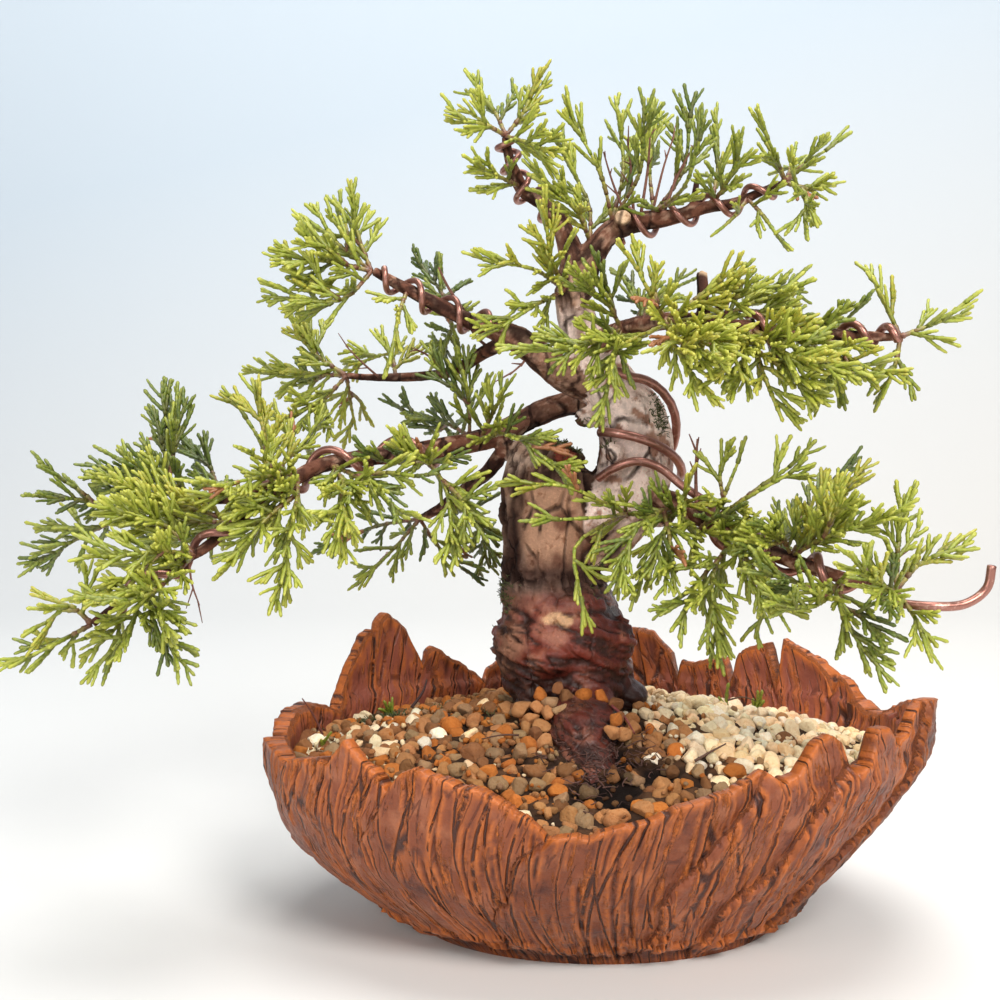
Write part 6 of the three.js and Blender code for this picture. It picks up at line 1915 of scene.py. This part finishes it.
# ---- small growths
@dataclass
class Growths:
    """Moss, root hairs, bare twigs and stray sprigs. Lengths are millimetres."""

    wood: Piece
    places: WoodField
    soil: Soil
    random: Random = field(default_factory=lambda: np.random.default_rng(12))
    material: Material = field(default_factory=lambda: FibreFinish().material())

    def on_bark(self, place: Array) -> tuple[Array, Array]:
        """Finds the bark's nearest point to a place and the way out of it there."""
        _, spot, out, _ = self.wood.closest_point_on_mesh(Vector(place * MM))
        return np.array(spot) / MM, np.array(out)

    def strand(self, draft: Draft, points: list | Array, radius: float, colour: Colour, sides: int = 5) -> None:
        """Adds a thin tapering strand.

        Args:
            draft: The mesh being made.
            points: The points it runs through.
            radius: Its radius at the start.
            colour: Its colour.
            sides: Points round it.
        """
        curve = Spline(points)
        steps = max(4, int(curve.length() / 1.1))
        thick = radius * np.linspace(1, 0.45, steps + 1)
        draft.add(*tube(curve.even(steps), thick, sides), (*colour, 1))

    def moss(self) -> None:
        """Sets tufts of moss on the bark and on the soil."""
        draft = Draft()
        for centre, reach, count in MOSS_PATCHES:
            spots = np.array(centre) + self.random.normal(0, 0.5, (count, 3)) * np.array(reach)
            ground = self.soil.height(spots[:, 0], spots[:, 1])
            for spot, level in zip(spots, ground):
                base, rise = self.on_bark(spot)
                if np.linalg.norm(base - spot) > 6:
                    base, rise = np.array([spot[0], spot[1], level - 0.6]), np.array([0, 0, 1.0])
                base = base - 0.2 * rise
                tip = unit(rise + self.random.normal(0, 0.55, 3)) * self.random.uniform(0.7, 1.7)
                bend = self.random.normal(0, 0.25, 3)
                tone = self.random.uniform(0.5, 1.3)
                colour = (0.085 * tone, 0.095 * tone, 0.03 * tone)
                self.strand(draft, [base, base + tip * 0.5 + bend, base + tip], 0.17, colour, 3)
        own(draft.build("moss", self.material), "foliage", "trunk")

    def roots(self) -> None:
        """Lays fine roots over the surface root and in the dark hollow beside it."""
        draft = Draft()
        for _ in range(170):
            spot = np.array([self.random.normal(-1, 6), self.random.normal(-24, 9)])
            ground = float(self.soil.height(*spot)) - 0.6
            turn = self.random.uniform(0, 2 * math.pi)
            points = []
            for _ in range(4):
                spot = spot + np.array([math.cos(turn), math.sin(turn)]) * self.random.uniform(1.0, 2.6)
                turn += self.random.normal(0, 0.5)
                points.append([*spot, ground + self.random.uniform(-0.3, 1.6)])
            points = np.array(points)
            if (self.places.find(points).gap < 0.6).any():
                points = np.array([sum((point, 0.15 * out)) for point, out in map(self.on_bark, points)])
            tone = self.random.uniform(0.4, 1.3)
            colour = (0.1 * tone, 0.045 * tone, 0.035 * tone)
            self.strand(draft, points, self.random.uniform(0.1, 0.22), colour, 4)
        for points, radius, colour in STRAY_TWIGS:
            self.strand(draft, points, radius, colour)
        own(draft.build("fine_roots", self.material), "bark", "trunk")

    def twigs(self) -> None:
        """Makes the bare twigs that stand out of the branches."""
        draft = Draft()
        for start, end, radius, spurs in BARE_TWIGS:
            start, end = np.array(start, float), np.array(end, float)
            near = self.places.find(start[None])
            root = start - near.out[0] * (near.gap[0] + 0.6)
            sway = self.random.normal(0, 0.05, 3) * np.linalg.norm(end - start)
            line = Spline([root, (start + end) / 2 + sway, end])
            tone = self.random.uniform(0.8, 1.2)
            colour = (0.2 * tone, 0.085 * tone, 0.06 * tone)
            self.strand(draft, line.points, radius, colour, 6)
            for part in np.linspace(0.3, 0.9, spurs):
                base = line.at(part)[0]
                side = unit(end - start + self.random.normal(0, 0.7, 3) * np.linalg.norm(end - start) * 0.8)
                self.strand(draft, [base, base + side * self.random.uniform(1.5, 5.5)], radius * 0.6, colour, 4)
        own(draft.build("bare_twigs", self.material), "bark", "trunk")

    def sprigs(self) -> None:
        """Sets small green sprigs in the soil."""
        shoots = Shoots()
        for x, y, lean, count in SPRIGS:
            base = np.array([x, y, float(self.soil.height(x, y)) - 1.0])
            for _ in range(count):
                rise = unit(np.array([*lean, 1.0]) + self.random.normal(0, 0.35, 3))
                reach = self.random.uniform(4, 8)
                knee = base + rise * reach * 0.5
                end = knee + unit(rise + self.random.normal(0, 0.2, 3)) * reach * 0.5
                foot = base + self.random.normal(0, 0.6, 3) * np.array([1, 1, 0])
                shoots.add(foot, knee, end, 0.55, (0.2, 0.3, 0, 0))
        draft = Draft()
        shoots.skin(draft, self.random)
        own(draft.build("sprigs", bpy.data.materials["scale_leaves"]), "foliage", "soil")

    def build(self) -> None:
        """Makes all of them."""
        self.moss()
        self.roots()
        self.twigs()
        self.sprigs()


# ---- studio
@dataclass(frozen=True)
class Lamp:
    """A soft studio light: place in metres, diameter, power and tint."""

    name: str
    place: tuple[float, float, float]
    size: float
    power: float
    tint: Colour


@dataclass(frozen=True)
class Studio:
    """Camera, floor sweep, lights and surrounding light. Lengths are metres."""

    target: tuple[float, float, float] = (-0.01, 0.0, 0.1)
    camera_place: tuple[float, float, float] = (-0.0245, -0.406, 0.1356)
    camera_pitch: float = 86.0
    lens: float = 57.6
    lamps: tuple[Lamp, ...] = (
        Lamp("key_light", (0.42, -0.95, 0.85), 0.55, 15.0, (1.0, 0.975, 0.94)),
        Lamp("fill_light", (-0.7, -0.95, 0.5), 0.8, 6.0, (1.0, 0.98, 0.95)),
        Lamp("top_light", (0.05, 0.1, 1.1), 0.7, 9.0, (1.0, 0.985, 0.96)),
    )
    surround: Colour = (0.93, 0.96, 1.0)
    surround_strength: float = 0.24
    # Strength of the emission that lights the backdrop from within: painted light, not a lamp.
    backdrop_painted_glow: float = 0.28

    def camera(self) -> None:
        """Places the camera."""
        data = bpy.data.cameras.new("camera")
        data.lens = self.lens
        data.sensor_width = 36.0
        data.clip_start = 0.01
        camera = bpy.data.objects.new("camera", data)
        camera.location = self.camera_place
        camera.rotation_euler = (math.radians(self.camera_pitch), 0.0, 0.0)
        bpy.context.scene.collection.objects.link(camera)
        bpy.context.scene.camera = camera

    def sweep(self) -> None:
        """Makes the pale floor that curves up behind the object; it carries painted shade and is lit by emission,
        painted light.
        """
        back, turn, top, wide = 1.0, 0.45, 2.2, 2.6
        profile = [(-1.6, 0.0), (-0.4, 0.0), (0.2, 0.0), (back - turn, 0.0)]
        for angle in np.linspace(0.1, math.pi / 2, 14):
            profile.append((back - turn + turn * math.sin(angle), turn - turn * math.cos(angle)))
        profile.append((back, top))
        points = np.array([(x, y, z) for y, z in profile for x in np.linspace(-wide, wide, 9)]) / MM
        draft = Draft()
        draft.add(points, [ring_faces(len(profile), 9, False)], (1, 1, 1, 1))
        s = Shader("pale_sweep")
        split = s.tree.nodes.new("ShaderNodeSeparateXYZ")
        s.put(split.inputs[0], s.place)
        # Painted shade: the backdrop turns a darker blue-grey towards the upper left; higher up it shines by emission,
        # painted light.
        shade_to_upper_left = s.maths("ADD", s.maths("MULTIPLY", split.outputs[0], -0.25), split.outputs[2])
        tint = s.mix(s.span(shade_to_upper_left, -0.05, 0.4), (0.8, 0.78, 0.75), (0.57, 0.645, 0.715))
        painted_glow = s.mix(s.span(split.outputs[2], 0.02, 0.5), (0.0, 0.0, 0.0), tint)
        s.set(Base_Color=tint, Roughness=0.9, Specular_IOR_Level=0.1)
        s.set(Emission_Color=painted_glow, Emission_Strength=self.backdrop_painted_glow)
        draft.build("pale_sweep", s.material)

    def lights(self) -> None:
        """Makes the lamps and the surrounding light."""
        for lamp in self.lamps:
            data = bpy.data.lights.new(lamp.name, "AREA")
            data.shape = "DISK"
            data.size = lamp.size
            data.energy = lamp.power
            data.color = lamp.tint
            light = bpy.data.objects.new(lamp.name, data)
            light.location = lamp.place
            toward = Vector(self.target) - Vector(lamp.place)
            light.rotation_euler = toward.to_track_quat("-Z", "Y").to_euler()
            bpy.context.scene.collection.objects.link(light)
        world = bpy.data.worlds.new("surround")
        world.use_nodes = True
        background = world.node_tree.nodes["Background"]
        background.inputs["Color"].default_value = (*self.surround, 1.0)
        background.inputs["Strength"].default_value = self.surround_strength
        bpy.context.scene.world = world
        bpy.context.scene.view_settings.view_transform = "Standard"

    def build(self) -> None:
        """Makes all of it."""
        self.camera()
        self.sweep()
        self.lights()


def main() -> None:
    """Builds every piece."""
    logging.basicConfig(level=logging.INFO, format="%(message)s")
    Studio().build()
    places = WoodField()
    bowl = Bowl()
    bowl.build()
    soil = Soil(bowl, places)
    soil.build()
    wood = Wood(places).build()
    Wires().build()
    Foliage(places).build()
    Growths(wood, places, soil).build()


if __name__ == "__main__":
    main()
